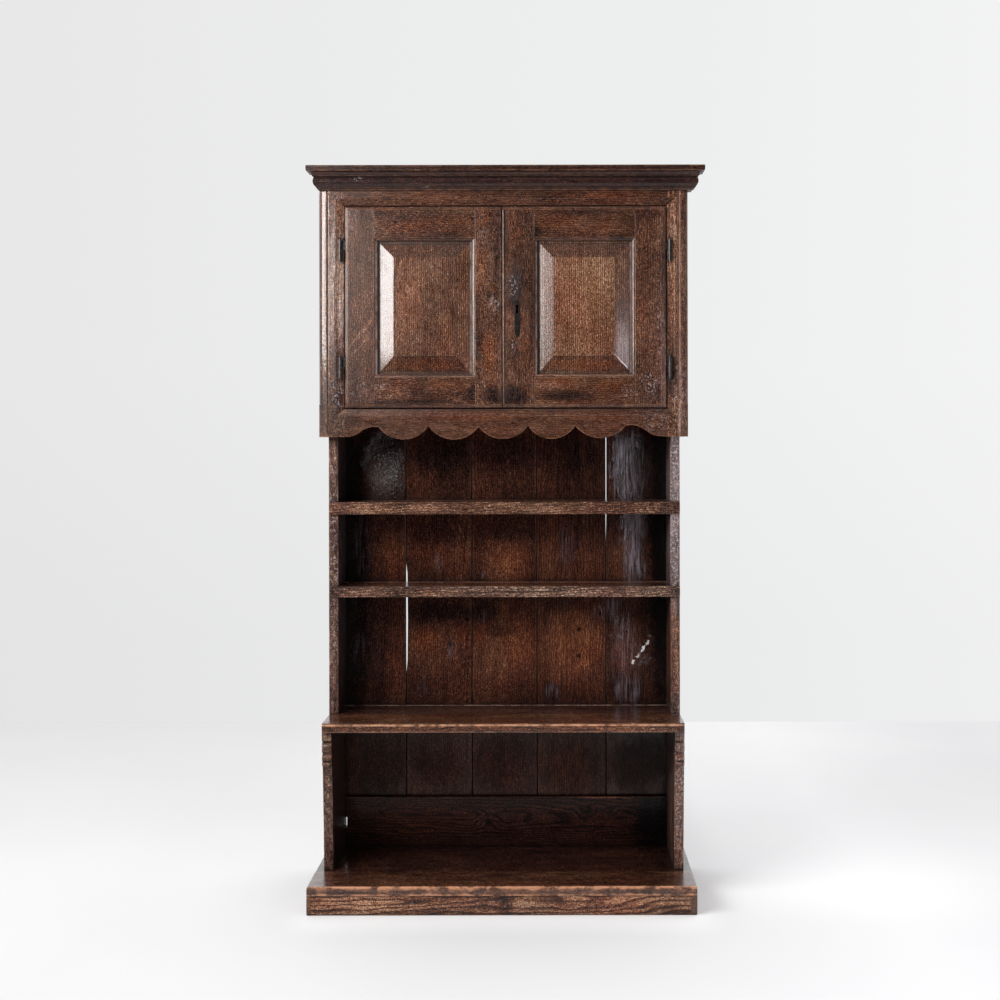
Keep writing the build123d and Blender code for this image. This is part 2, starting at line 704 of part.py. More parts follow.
meet -= keyhole(KEY_X, KEY_Z, DOOR_FACE - 5, DOOR_BACK + 5)
keep("right_door_meeting_stile", meet)
keep("right_door_hinge_stile", R[1])
keep("right_door_top_rail", R[2])
keep("right_door_bottom_rail", R[3])
keep("right_door_panel", R[4])
keep("right_door_pegs", *R[5])
keep("right_door_hinge_knuckles", *door_leaves["r"])
# bead worked up the meeting edge of the right door
bead = along_z(
    [(-2.3, DOOR_FACE), (-2.3, DOOR_FACE - 1.0), ("arc", (1.2, DOOR_FACE - 3.6), (4.7, DOOR_FACE - 1.0)), (4.7, DOOR_FACE)],
    DZ0 + 11,
    DZ1 - 11,
)
nodes["right_door_meeting_stile"] = nodes["right_door_meeting_stile"] + bead

# escutcheon: a narrow iron plate with pointed ends, held by two nails
ESC_Z0, ESC_Z1, ESC_W = 1610.0, 1714.0, 8.0
esc = along_y(
    [
        (KEY_X - 3.0, ESC_Z0),
        (KEY_X + 3.0, ESC_Z0),
        (KEY_X + ESC_W, ESC_Z0 + 16),
        (KEY_X + ESC_W, ESC_Z1 - 9),
        (KEY_X + 3.0, ESC_Z1),
        (KEY_X - 3.0, ESC_Z1),
        (KEY_X - ESC_W, ESC_Z1 - 9),
        (KEY_X - ESC_W, ESC_Z0 + 16),
    ],
    DOOR_FACE - 1.3,
    DOOR_FACE,
)
esc -= keyhole(KEY_X, KEY_Z, DOOR_FACE - 5, DOOR_FACE + 5, 0.5)
esc_nails = []
for zz in (ESC_Z0 + 9, ESC_Z1 - 4.8):
    shank = cyl_y(KEY_X, DOOR_FACE - 1.6, DOOR_FACE + 16, zz, 1.1)
    head = dome(KEY_X, DOOR_FACE - 1.3, zz, (0, -1, 0), 3.0, 0.3)
    nail = shank + head
    esc_nails.append(nail)
    esc -= cyl_y(KEY_X, DOOR_FACE - 5, DOOR_FACE + 1, zz, 1.1)
    nodes["right_door_meeting_stile"] -= cyl_y(KEY_X, DOOR_FACE - 1, DOOR_FACE + 16, zz, 1.1)
keep("escutcheon", esc)
keep("escutcheon_nails", *esc_nails)

# box lock on the inner face of the right door
LX0, LX1, LZ0, LZ1 = 6.0, 84.0, 1652.0, 1738.0
LT = 1.6
case = box(LX0, LX1, DOOR_BACK, DOOR_BACK + 16, LZ0, LZ1) - box(
    LX0 + LT, LX1 - LT, DOOR_BACK - 1, DOOR_BACK + 16 - LT, LZ0 + LT, LZ1 - LT
)
BZ0, BZ1, BD0, BD1 = 1712.0, 1726.0, DOOR_BACK + 3.5, DOOR_BACK + 11.5
case -= box(LX0 - 1, LX0 + LT + 1, BD0 - 0.4, BD1 + 0.4, BZ0 - 0.4, BZ1 + 0.4)
# two guides for the tail of the bolt
for gx in (28.0, 66.0):
    case += box(gx, gx + 3, BD1 + 0.4, DOOR_BACK + 16 - LT, BZ0 - 3, BZ1 + 3)
    case += box(gx, gx + 3, BD0 - 0.4, BD1 + 0.4, BZ1 + 0.4, BZ1 + 3)
    case += box(gx, gx + 3, BD0 - 0.4, BD1 + 0.4, BZ0 - 3, BZ0 - 0.4)
# drill pin for the key
case += cyl_y(KEY_X, DOOR_BACK + 1, DOOR_BACK + 16 - LT, KEY_Z, 1.8)
keep("lock_case", case)
bolt = box(LX0 + 0.2, 74.0, BD0, BD1, BZ0, BZ1) - box(KEY_X - 8, KEY_X + 8, BD0 - 1, BD1 + 1, BZ0 - 1, BZ0 + 4)
keep("lock_bolt", bolt)
# a flat spring above the bolt, fixed to the wall of the case
spring = along_y(
    [(34.0, BZ1 + 9.0), (LX1 - LT, BZ1 + 9.0), (LX1 - LT, BZ1 + 10.0), (33.0, BZ1 + 10.0), (20.0, BZ1 + 5.0), (20.6, BZ1 + 4.2)],
    BD0 + 1,
    BD1 - 1,
)
keep("lock_spring", spring)

# keeper for the lock bolt, and a slide bolt that holds the left door
kx0, kx1 = -30.0, -8.0
keeper = box(kx0, kx1, DOOR_BACK, DOOR_BACK + 15, BZ0 - 4, BZ1 + 4) - box(
    kx0 - 1, kx1 + 1, DOOR_BACK + 2.4, DOOR_BACK + 12.6, BZ0 - 1.2, BZ1 + 1.2
)
sb_d0, sb_d1 = DOOR_BACK + 1.6, DOOR_BACK + 7.6
sb = box(BOLT_X - 5, BOLT_X + 5, sb_d0, sb_d1, 1890.0, 1981.0)
sb += box(BOLT_X - 3.5, BOLT_X + 3.5, sb_d1, sb_d1 + 9, 1914.4, 1921.4)   # knob, just over the lower staple
keep("slide_bolt", sb)
stap = []
for zz in (1902.0, 1956.0):
    s = box(BOLT_X - 9, BOLT_X + 9, DOOR_BACK, sb_d1 + 2.2, zz, zz + 12) - box(
        BOLT_X - 5.4, BOLT_X + 5.4, DOOR_BACK + 1.2, sb_d1 + 0.4, zz - 1, zz + 13
    )
    stap.append(s)
keep("bolt_staples", keeper, *stap)

# --------------------------------------------------------- cornice
# section: d' = distance out from the carcass face, z' = height above the carcass top
P = CUP_D - COR_D
prof = [
    (-19.0, 0.0),
    (5.0, 0.0),
    (7.0, 1.5),
    ("arc", (9.2, 4.6), (13.5, 5.6)),
    (13.5, 8.5),
    ("arc", (22.0, 19.5), (20.5, 35.0)),
    (18.0, 37.0),
    (20.0, 39.0),
    (24.5, 39.5),
    ("arc", (28.0, 48.0), (P - 2.0, 52.0)),
    (P - 1.0, 52.8),
    (P, 66.5),
    (P - 2.0, 69.0),
    (-19.0, 69.0),
]


def cor(u, z):
    return u, z


def map_path(path, f):
    out = []
    for s in path:
        if s[0] == "arc":
            out.append(("arc", f(*s[1]), f(*s[2])))
        else:
            out.append(f(*s))
    return out


# shift from carcass x to cornice x
CX = -XC
front = along_x(map_path(prof, lambda u, z: (CUP_D - u, COR_Z0 + z)), CX - COR_HALF - 5, CX + COR_HALF + 5)
ux = COR_HALF - P           # x of the plane from which the return projects
RET_D = 268.0               # the returns are short and stop just behind the front frame
ret_r = along_y(map_path(prof, lambda u, z: (CX + ux + u, COR_Z0 + z)), COR_D - 5, RET_D)
ret_l = along_y(map_path(prof, lambda u, z: (CX - ux - u, COR_Z0 + z)), COR_D - 5, RET_D)
# mitre planes at 45 degrees through the outer corners
zlo, zhi = COR_Z0 - 5, COR_Z0 + 80
big = 200.0
XR, XL = CX + COR_HALF, CX - COR_HALF
front_zone = along_z(
    [(XL, COR_D), (XL - 20, COR_D - 20), (XR + 20, COR_D - 20), (XR, COR_D), (XR - big, COR_D + big), (XL + big, COR_D + big)],
    zlo,
    zhi,
)
cor_front = front & front_zone
zone_r = along_z([(XR + 20, COR_D - 20), (XR + 20, DEPTH), (XR - big, DEPTH), (XR - big, COR_D + big)], zlo, zhi)
zone_l = along_z([(XL - 20, COR_D - 20), (XL + big, COR_D + big), (XL + big, DEPTH), (XL - 20, DEPTH)], zlo, zhi)
cor_r = ret_r & zone_r
cor_l = ret_l & zone_l
keep("cornice_front", cor_front)
keep("cornice_left", cor_l)
keep("cornice_right", cor_r)
top_in = ux - 19.0
top = box(CX - top_in, CX + top_in, CUP_D + 19.0, RET_D + 5, COR_Z0, COR_Z0 + 14)
top += box(-CUP_OUT, CUP_OUT, RET_D, DEPTH, COR_Z0, COR_Z0 + 14)
keep("top_board", top)

# ----------------------------------------------------------- nails
nails = []


def nail_front(x, z, d, owners, head=3.2, length=22.0):
    shank = cyl_y(x, d - 0.3, d + length, z, 1.4)
    cap = dome(x, d, z, (0, -1, 0), head, 0.55)
    nails.append(shank + cap)
    for o in owners:
        nodes[o] = nodes[o] - cyl_y(x, d - 5, d + length, z, 1.4)


def nail_side(sign, d, z, owners, x=None, head=3.4, length=26.0):
    face = x if x is not None else SIDE_OUT
    a, b = sorted((sign * (face + 0.3), sign * (face - length)))
    shank = cyl_x(a, b, d, z, 1.4)
    cap = dome(sign * face, d, z, (sign, 0, 0), head, 0.55)
    nails.append(shank + cap)
    for o in owners:
        nodes[o] = nodes[o] - cyl_x(min(a, sign * (face + 5)), max(b, sign * (face + 5)), d, z, 1.4)


keep("side_left", side_l)
keep("side_right", side_r)
for sgn, owner in ((-1, "side_left"), (1, "side_right")):
    for (z0, z1), nm in (((SHELF1_Z0, SHELF1_Z1), "upper_shelf_nosing"), ((SHELF2_Z0, SHELF2_Z1), "lower_shelf_nosing")):
        nail_front(sgn * (SIDE_OUT - 13), (z0 + z1) / 2, RACK_D - NOSE_T, [nm, owner])
    for d in (330.0, 440.0):
        nail_side(sgn, d, SHELF1_Z1 - 10, [owner, "upper_shelf"], length=48.0)
        nail_side(sgn, d, SHELF2_Z1 - 10, [owner, "lower_shelf"], length=48.0)
    nail_side(sgn, 360.0, SERVE_Z0 + 13, [owner, "serving_shelf_rear"], length=48.0)
keep("nails", *nails)

# ----------------------------------------------------------- write
for name, shape in sorted(nodes.items()):
    solids = shape.solids()
    out = solids[0] if len(solids) == 1 else Compound(children=list(solids))
    export_step(out, f"parts/{name}.step")
    print(name, len(solids), round(sum(s.volume for s in solids)))
print(len(nodes), "nodes")
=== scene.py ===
import json
import math

import bmesh
import bpy
import numpy as np
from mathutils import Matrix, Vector, kdtree
from mathutils.bvhtree import BVHTree


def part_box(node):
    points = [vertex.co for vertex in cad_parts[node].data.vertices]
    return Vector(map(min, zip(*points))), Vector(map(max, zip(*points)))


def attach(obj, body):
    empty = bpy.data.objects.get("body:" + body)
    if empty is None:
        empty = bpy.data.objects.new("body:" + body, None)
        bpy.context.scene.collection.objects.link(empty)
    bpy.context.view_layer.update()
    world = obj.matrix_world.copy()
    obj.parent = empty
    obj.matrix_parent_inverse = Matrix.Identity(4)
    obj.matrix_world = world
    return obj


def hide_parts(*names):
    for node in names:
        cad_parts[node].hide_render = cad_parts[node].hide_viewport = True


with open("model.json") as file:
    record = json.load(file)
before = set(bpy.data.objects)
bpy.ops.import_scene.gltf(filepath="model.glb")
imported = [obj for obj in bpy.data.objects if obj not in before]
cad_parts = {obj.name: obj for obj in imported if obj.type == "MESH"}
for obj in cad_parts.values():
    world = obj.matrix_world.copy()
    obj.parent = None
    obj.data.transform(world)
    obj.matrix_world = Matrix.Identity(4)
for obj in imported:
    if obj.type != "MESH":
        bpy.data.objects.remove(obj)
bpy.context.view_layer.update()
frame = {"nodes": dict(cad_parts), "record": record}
NODES = frame["nodes"]
BODY = {n: b for b, ns in frame["record"]["behaviour"]["bodies"].items() for n in ns}
scene = bpy.context.scene

# the carcass's own frame, in metres: x from the middle of the carcass, d behind the plinth's front
XC, HALF_D = -0.008, 0.246


# ------------------------------------------------------------------ camera
cam_data = bpy.data.cameras.new("camera")
cam = bpy.data.objects.new("camera", cam_data)
scene.collection.objects.link(cam)
cam.location = (0.1243, -4.546, 1.2972)
cam.rotation_euler = (math.radians(90), math.radians(0.1), 0)
cam_data.sensor_width = 36.0
cam_data.lens = 56.16
cam_data.shift_x = -0.049
cam_data.shift_y = -0.055
cam_data.clip_end = 60.0
scene.camera = cam


# ------------------------------------------------------------------ noise in numpy, for shapes
def _hash(ix, iy, iz, seed):
    h = (ix * 374761393 + iy * 668265263 + iz * 1274126177 + seed * 144269504) & 0xFFFFFFFF
    h = ((h ^ (h >> 13)) * 1274126177) & 0xFFFFFFFF
    h = ((h ^ (h >> 16)) * 668265263) & 0xFFFFFFFF
    h = h ^ (h >> 15)
    return (h & 0xFFFF) / 65535.0 * 2.0 - 1.0


def vnoise(p, seed=0):
    """Smooth noise from -1 to 1 at the rows of p."""
    i = np.floor(p).astype(np.int64)
    f = p - i
    f = f * f * f * (f * (f * 6 - 15) + 10)
    out = np.zeros(len(p))
    for dx in (0, 1):
        for dy in (0, 1):
            for dz in (0, 1):
                w = (
                    (f[:, 0] if dx else 1 - f[:, 0])
                    * (f[:, 1] if dy else 1 - f[:, 1])
                    * (f[:, 2] if dz else 1 - f[:, 2])
                )
                out += w * _hash(i[:, 0] + dx, i[:, 1] + dy, i[:, 2] + dz, seed)
    return out


# ------------------------------------------------------------------ one search tree of every CAD face
_verts, _polys, _owner = [], [], []
for _name in sorted(NODES):
    _o = NODES[_name]
    _base = len(_verts)
    _verts += [v.co.copy() for v in _o.data.vertices]
    for _p in _o.data.polygons:
        _polys.append([_base + i for i in _p.vertices])
        _owner.append(_name)
ALL = BVHTree.FromPolygons(_verts, _polys)


def covered(point, name, reach):
    """Is another CAD node within reach of this point?"""
    for _, _, index, _ in ALL.find_nearest_range(point, reach):
        if _owner[index] != name:
            return True
    return False


def photo_point(px, py, d):
    """X and Z in metres of a point seen at (px, py) of the 1000 x 1000 picture, d metres behind the plinth's front."""
    k = 0.002757 * (4.3 + d) / 4.3
    return (px - 549) * k + 0.1243, 1.2972 - (py - 445) * k, k


# ------------------------------------------------------------------ worn boards
def worn_piece(
    name,
    grain="Z",
    step=(0.030, 0.020, 0.020),
    arris=0.0013,
    wave=0.00035,
    dent=0.0011,
    dent_len=0.012,
    seed=1,
    soft=55.0,
    shut=0.00012,
    inset=True,
    plain=None,
    scars=(),
    sharp=28.0,
    d=0.23,
):
    """A piece in place of a CAD board: the same board with hand-planed faces, and arrises rounded and dented where nothing covers them.
    step is the grid along x, y, z. Vertices only move inwards. The wear_d and seam_d attributes hold the distance to the nearest open and closed arris.
    sharp is the angle in degrees from which an edge is an arris. plain(point) names arrises that stay crisp. scars are gouges (px, py, px, py, width, depth in mm) in the front face, d metres deep in the picture."""
    src = NODES[name]
    bm = bmesh.new()
    bm.from_mesh(src.data)
    bmesh.ops.remove_doubles(bm, verts=bm.verts, dist=2e-5)
    bmesh.ops.dissolve_limit(bm, angle_limit=math.radians(0.3), verts=bm.verts, edges=bm.edges)
    bmesh.ops.recalc_face_normals(bm, faces=bm.faces)
    if inset:
        wide = []
        for f in bm.faces:
            per = f.calc_perimeter()
            if per > 0 and f.calc_area() * 2 / per > 2.2 * arris:
                wide.append(f)
        if wide:
            bmesh.ops.inset_individual(bm, faces=wide, thickness=arris, use_even_offset=True)
    co = np.array([v.co[:] for v in bm.verts])
    low, high = co.min(0), co.max(0)
    for axis in range(3):
        size = high[axis] - low[axis]
        n = int(size / step[axis])
        if n < 1:
            continue
        for i in range(1, n + 1):
            at = low[axis] + size * i / (n + 1)
            normal = [0, 0, 0]
            normal[axis] = 1
            where = [0, 0, 0]
            where[axis] = at
            bmesh.ops.bisect_plane(
                bm,
                geom=bm.verts[:] + bm.edges[:] + bm.faces[:],
                dist=1e-6,
                plane_co=where,
                plane_no=normal,
            )
    lines = []
    for x0, y0, x1, y1, width, depth in scars:
        a, c, _ = photo_point(x0, y0, d)
        b, e, _ = photo_point(x1, y1, d)
        lines.append((a, c, b, e, width / 1000.0, depth / 1000.0))
        pad, pitch = width / 1000.0, width / 2800.0
        for axis, lo, hi in ((0, min(a, b) - pad, max(a, b) + pad), (2, min(c, e) - pad, max(c, e) + pad)):
            for i in range(int((hi - lo) / pitch) + 1):
                normal = [0, 0, 0]
                normal[axis] = 1
                where = [0, 0, 0]
                where[axis] = lo + i * pitch
                near = [
                    f
                    for f in bm.faces
                    if abs(f.calc_center_median()[0] - (a + b) / 2) < 0.09 and abs(f.calc_center_median()[2] - (c + e) / 2) < 0.09
                ]
                parts = set(near)
                for f in near:
                    parts.update(f.edges)
                    parts.update(f.verts)
                bmesh.ops.bisect_plane(bm, geom=list(parts), dist=1e-6, plane_co=where, plane_no=normal)
    bm.normal_update()
    bm.verts.ensure_lookup_table()
    # open arrises
    open_pts, shut_pts, sharp_open, sharp_shut = [], [], set(), set()
    for e in bm.edges:
        if len(e.link_faces) != 2:
            continue
        if e.calc_face_angle_signed(0.0) > math.radians(sharp):
            a, b = e.verts
            mid = (a.co + b.co) / 2
            out = e.link_faces[0].normal + e.link_faces[1].normal
            out.normalize()
            crisp = plain and plain(mid)
            shut_here = crisp or covered(mid + out * 0.0016, name, 0.00175)
            (sharp_shut if shut_here else sharp_open).update((a.index, b.index))
            if not crisp:
                n = max(1, int((b.co - a.co).length / 0.004))
                (shut_pts if shut_here else open_pts).extend(a.co.lerp(b.co, k / n) for k in range(n + 1))
    co = np.array([v.co[:] for v in bm.verts])
    nrm = np.array([v.normal[:] for v in bm.verts])
    wear = np.full(len(co), 0.06)
    if open_pts:
        tree = kdtree.KDTree(len(open_pts))
        for i, p in enumerate(open_pts):
            tree.insert(p, i)
        tree.balance()
        wear = np.array([min(0.06, tree.find(v.co)[2]) for v in bm.verts])
        wear[wear < 0.0001] = 0.0
    seam = np.full(len(co), 0.06)
    if shut_pts:
        tree = kdtree.KDTree(len(shut_pts))
        for i, p in enumerate(shut_pts):
            tree.insert(p, i)
        tree.balance()
        seam = np.array([min(0.06, tree.find(v.co)[2]) for v in bm.verts])
    rng = np.array([seed * 7.31, seed * 3.17, seed * 5.53])
    axis = "XYZ".index(grain)
    stretch = np.array([9.0, 9.0, 9.0])
    stretch[axis] = 3.0
    big = vnoise(co * stretch + rng, seed) * 0.65 + vnoise(co * stretch * 2.7 + rng, seed + 5) * 0.35
    shift = wave * (big * 0.5 + 0.5)
    for i, v in enumerate(bm.verts):
        if covered(v.co + v.normal * 0.0002, name, 0.00035):
            shift[i] = 0.0
    is_open = np.zeros(len(co))
    is_open[sorted(sharp_open)] = 1.0
    is_shut = np.zeros(len(co))
    is_shut[sorted(sharp_shut - sharp_open)] = 1.0
    along = vnoise(co / dent_len + rng, seed + 11)
    slow = vnoise(co * 14.0 + rng, seed + 17)
    shift += is_open * (arris * 0.5 + dent * np.clip(along * 1.1 - 0.25 + slow * 0.5, 0, 1) ** 1.4)
    shift += is_shut * shut
    near = np.exp(-((wear / 0.004) ** 2)) * (1 - is_open)
    shift += near * dent * 0.35 * np.clip(along + slow * 0.4 - 0.2, 0, 1)
    co2 = co - nrm * shift[:, None]
    front = nrm[:, 1] < -0.75
    for a, c, b, e, width, depth in lines:
        length = math.hypot(b - a, e - c)
        ux, uz = (b - a) / length, (e - c) / length
        run = (co[:, 0] - a) * ux + (co[:, 2] - c) * uz
        off = -(co[:, 0] - a) * uz + (co[:, 2] - c) * ux
        off = off + width * 0.25 * vnoise(co * 60.0 + rng, seed + 23)
        ends = np.clip(run / (0.25 * length) + 0.35, 0, 1) * np.clip((length - run) / (0.25 * length) + 0.35, 0, 1)
        co2[:, 1] += front * depth * np.exp(-((off / width) ** 2) * 1.6) * ends
    for v, c in zip(bm.verts, co2):
        v.co = c
    mesh = bpy.data.meshes.new(name + "_worn")
    bm.to_mesh(mesh)
    bm.free()
    mesh.attributes.new("wear_d", "FLOAT", "POINT").data.foreach_set("value", wear.astype(np.float32))
    mesh.attributes.new("seam_d", "FLOAT", "POINT").data.foreach_set("value", seam.astype(np.float32))
    mesh.shade_smooth()
    mesh.set_sharp_from_angle(angle=math.radians(soft))
    obj = bpy.data.objects.new(name + "_worn", mesh)
    scene.collection.objects.link(obj)
    mod = obj.modifiers.new("weighted", "WEIGHTED_NORMAL")
    mod.keep_sharp = True
    mod.weight = 60
    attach(obj, BODY[name])
    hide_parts(name)
    return obj


# ------------------------------------------------------------------ node helper
class Tree:
    def __init__(self, tree):
        self.t = tree
        self.col = 0

    def new(self, kind, **props):
        n = self.t.nodes.new(kind)
        self.col += 1
        n.location = (self.col * 40, -(self.col % 7) * 60)
        for k, v in props.items():
            setattr(n, k, v)
        return n

    def put(self, socket, value):
        if value is None:
            return
        if isinstance(value, bpy.types.NodeSocket):
            self.t.links.new(value, socket)
        else:
            socket.default_value = value

    def math(self, op, a, b=None, c=None, clamp=False):
        n = self.new("ShaderNodeMath", operation=op, use_clamp=clamp)
        self.put(n.inputs[0], a)
        self.put(n.inputs[1], b)
        self.put(n.inputs[2], c)
        return n.outputs[0]

    def vmath(self, op, a, b=None, scale=None):
        n = self.new("ShaderNodeVectorMath", operation=op)
        self.put(n.inputs[0], a)
        self.put(n.inputs[1], b)
        if scale is not None:
            self.put(n.inputs["Scale"], scale)
        return n.outputs["Value"] if op in ("LENGTH", "DOT_PRODUCT", "DISTANCE") else n.outputs["Vector"]

    def xyz(self, x, y, z):
        n = self.new("ShaderNodeCombineXYZ")
        self.put(n.inputs[0], x)
        self.put(n.inputs[1], y)
        self.put(n.inputs[2], z)
        return n.outputs[0]

    def split(self, v):
        n = self.new("ShaderNodeSeparateXYZ")
        self.put(n.inputs[0], v)
        return n.outputs[0], n.outputs[1], n.outputs[2]

    def noise(self, vec, scale=1.0, detail=2.0, rough=0.5, distort=0.0, colour=False):
        n = self.new("ShaderNodeTexNoise")
        self.put(n.inputs["Vector"], vec)
        n.inputs["Scale"].default_value = scale
        n.inputs["Detail"].default_value = detail
        n.inputs["Roughness"].default_value = rough
        n.inputs["Distortion"].default_value = distort
        return n.outputs["Color"] if colour else n.outputs["Fac"]

    def voronoi(self, vec, scale=1.0, feature="F1", rand=1.0):
        n = self.new("ShaderNodeTexVoronoi", feature=feature)
        self.put(n.inputs["Vector"], vec)
        n.inputs["Scale"].default_value = scale
        n.inputs["Randomness"].default_value = rand
        return n.outputs["Distance"]

    def remap(self, v, a, b, c=0.0, d=1.0, smooth=False):
        n = self.new("ShaderNodeMapRange", interpolation_type="SMOOTHSTEP" if smooth else "LINEAR")
        self.put(n.inputs["Value"], v)
        self.put(n.inputs["From Min"], a)
        self.put(n.inputs["From Max"], b)
        self.put(n.inputs["To Min"], c)
        self.put(n.inputs["To Max"], d)
        return n.outputs["Result"]

    def ramp(self, fac, stops, interp="LINEAR"):
        n = self.new("ShaderNodeValToRGB")
        cr = n.color_ramp
        cr.interpolation = interp
        while len(cr.elements) > 1:
            cr.elements.remove(cr.elements[-1])
        cr.elements[0].position = stops[0][0]
        cr.elements[0].color = (*stops[0][1], 1)
        for pos, c in stops[1:]:
            e = cr.elements.new(pos)
            e.color = (*c, 1)
        self.put(n.inputs[0], fac)
        return n.outputs[0]

    def mix(self, fac, a, b, kind="MIX"):
        n = self.new("ShaderNodeMix", data_type="RGBA", blend_type=kind)
        n.clamp_factor = True
        self.put(n.inputs[0], fac)
        for s, v in ((n.inputs[6], a), (n.inputs[7], b)):
            if isinstance(v, tuple):
                v = (*v, 1.0) if len(v) == 3 else v
            self.put(s, v)
        return n.outputs[2]

    def bump(self, height, distance, strength=1.0, normal=None):
        n = self.new("ShaderNodeBump")
        n.inputs["Strength"].default_value = strength
        n.inputs["Distance"].default_value = distance
        self.put(n.inputs["Height"], height)
        self.put(n.inputs["Normal"], normal)
        return n.outputs["Normal"]


def srgb(r, g, b):
    return tuple(((c / 255.0) / 12.92 if c / 255.0 <= 0.04045 else ((c / 255.0 + 0.055) / 1.055) ** 2.4) for c in (r, g, b))


# ------------------------------------------------------------------ oak
def oak_group():
    """The figure of an oak board: growth rings round a heart outside or inside the board, pores, flecks, streaks and patches.
    Vector is (along the grain, across, through) in metres. Warp pushes the rings, as a knot does."""
    g = bpy.data.node_groups.new("oak_figure", "ShaderNodeTree")
    face = g.interface
    face.new_socket("Vector", in_out="INPUT", socket_type="NodeSocketVector")
    for n, v in (
        ("HeartV", 0.1),
        ("HeartW", 0.06),
        ("Slope", 0.02),
        ("Ring", 0.0055),
        ("Warp", 0.0),
        ("Wander", 1.0),
        ("Seed", 0.0),
    ):
        s = face.new_socket(n, in_out="INPUT", socket_type="NodeSocketFloat")
        s.default_value = v
    for n in ("Late", "Streak", "Patch", "Fleck", "Pore", "Blotch", "Speck", "Ridge", "Grain"):
        face.new_socket(n, in_out="OUTPUT", socket_type="NodeSocketFloat")
    t = Tree(g)
    gi = t.new("NodeGroupInput")
    go = t.new("NodeGroupOutput")
    seed = t.math("MULTIPLY", gi.outputs["Seed"], 3.71)
    off = t.xyz(seed, t.math("MULTIPLY", seed, 0.73), t.math("MULTIPLY", seed, 1.31))
    p = t.vmath("ADD", gi.outputs["Vector"], off)
    wob = t.noise(t.vmath("MULTIPLY", p, (2.0, 9.0, 9.0)), 1.0, 3.0, 0.55, colour=True)
    wx, wy, wz = t.split(wob)
    u, v, w = t.split(gi.outputs["Vector"])
    wan = gi.outputs["Wander"]
    v1 = t.math("ADD", v, t.math("MULTIPLY", t.math("MULTIPLY", t.math("SUBTRACT", wx, 0.5), 0.034), wan))
    w1 = t.math("ADD", w, t.math("MULTIPLY", t.math("MULTIPLY", t.math("SUBTRACT", wy, 0.5), 0.040), wan))
    dv = t.math("SUBTRACT", v1, gi.outputs["HeartV"])
    dw = t.math("ADD", t.math("ADD", w1, gi.outputs["HeartW"]), t.math("MULTIPLY", u, gi.outputs["Slope"]))
    rad = t.math("SQRT", t.math("ADD", t.math("MULTIPLY", dv, dv), t.math("MULTIPLY", dw, dw)))
    rad = t.math("ADD", rad, gi.outputs["Warp"])
    fine = t.noise(t.vmath("MULTIPLY", p, (5.0, 60.0, 60.0)), 1.0, 2.0)
    phase = t.math("ADD", t.math("DIVIDE", rad, gi.outputs["Ring"]), t.math("MULTIPLY", fine, 0.9))
    fr = t.math("FRACT", phase)
    late = t.math(
        "MULTIPLY",
        t.remap(fr, 0.02, 0.55, smooth=True),
        t.math("SUBTRACT", 1.0, t.remap(fr, 0.86, 1.0, smooth=True)),
    )
    t.put(go.inputs["Late"], late)
    # wide streaks along the grain
    s1 = t.noise(t.vmath("MULTIPLY", p, (1.6, 34.0, 34.0)), 1.0, 4.0, 0.62)
    s2 = t.noise(t.vmath("MULTIPLY", p, (6.0, 130.0, 130.0)), 1.0, 3.0, 0.6)
    t.put(go.inputs["Streak"], t.math("ADD", t.math("MULTIPLY", s1, 0.6), t.math("MULTIPLY", s2, 0.4)))
    # patches of wear and old wax
    q = t.vmath("ADD", p, (7.7, 2.2, 5.1))
    a = t.noise(t.vmath("MULTIPLY", q, (3.2, 6.5, 6.5)), 1.0, 4.0, 0.58, 0.6)
    t.put(go.inputs["Patch"], a)
    b = t.noise(t.vmath("MULTIPLY", q, (14.0, 30.0, 30.0)), 1.0, 4.0, 0.66, 1.0)
    t.put(go.inputs["Blotch"], b)
    # short flecks, specks and the pores
    f1 = t.noise(t.vmath("MULTIPLY", p, (78.0, 470.0, 470.0)), 1.0, 2.0, 0.6)
    t.put(go.inputs["Fleck"], f1)
    sp = t.noise(t.vmath("MULTIPLY", q, (320.0, 400.0, 400.0)), 1.0, 1.0, 0.6)
    t.put(go.inputs["Speck"], sp)
    po = t.noise(t.vmath("MULTIPLY", p, (70.0, 640.0, 640.0)), 1.0, 1.0, 0.5)
    po = t.remap(po, 0.55, 0.68)
    t.put(go.inputs["Pore"], t.math("MULTIPLY", po, t.math("SUBTRACT", 1.0, t.math("MULTIPLY", late, 0.6))))
    rd = t.noise(t.vmath("MULTIPLY", q, (9.0, 125.0, 125.0)), 1.0, 3.0, 0.62, 0.5)
    t.put(go.inputs["Ridge"], rd)
    gr = t.noise(t.vmath("MULTIPLY", q, (150.0, 165.0, 165.0)), 1.0, 2.0, 0.7)
    t.put(go.inputs["Grain"], gr)
    return g


OAK = oak_group()

# the tones of the old surface, dark to light
RAMP_DOOR = [
    (0.00, srgb(9, 5, 5)),
    (0.20, srgb(33, 17, 12)),
    (0.38, srgb(57, 32, 21)),
    (0.54, srgb(82, 50, 33)),
    (0.70, srgb(109, 73, 51)),
    (0.86, srgb(140, 104, 80)),
    (1.00, srgb(182, 150, 124)),
]
RAMP_BACK = [
    (0.00, srgb(6, 4, 4)),
    (0.22, srgb(21, 11, 9)),
    (0.42, srgb(43, 23, 18)),
    (0.60, srgb(71, 41, 29)),
    (0.78, srgb(104, 65, 46)),
    (0.92, srgb(138, 96, 70)),
    (1.00, srgb(180, 125, 85)),
]
RAMP_GREY = [
    (0.00, srgb(12, 8, 8)),
    (0.20, srgb(36, 23, 19)),
    (0.40, srgb(64, 43, 35)),
    (0.58, srgb(92, 66, 53)),
    (0.76, srgb(124, 94, 76)),
    (0.90, srgb(160, 128, 106)),
    (1.00, srgb(196, 166, 142)),
]
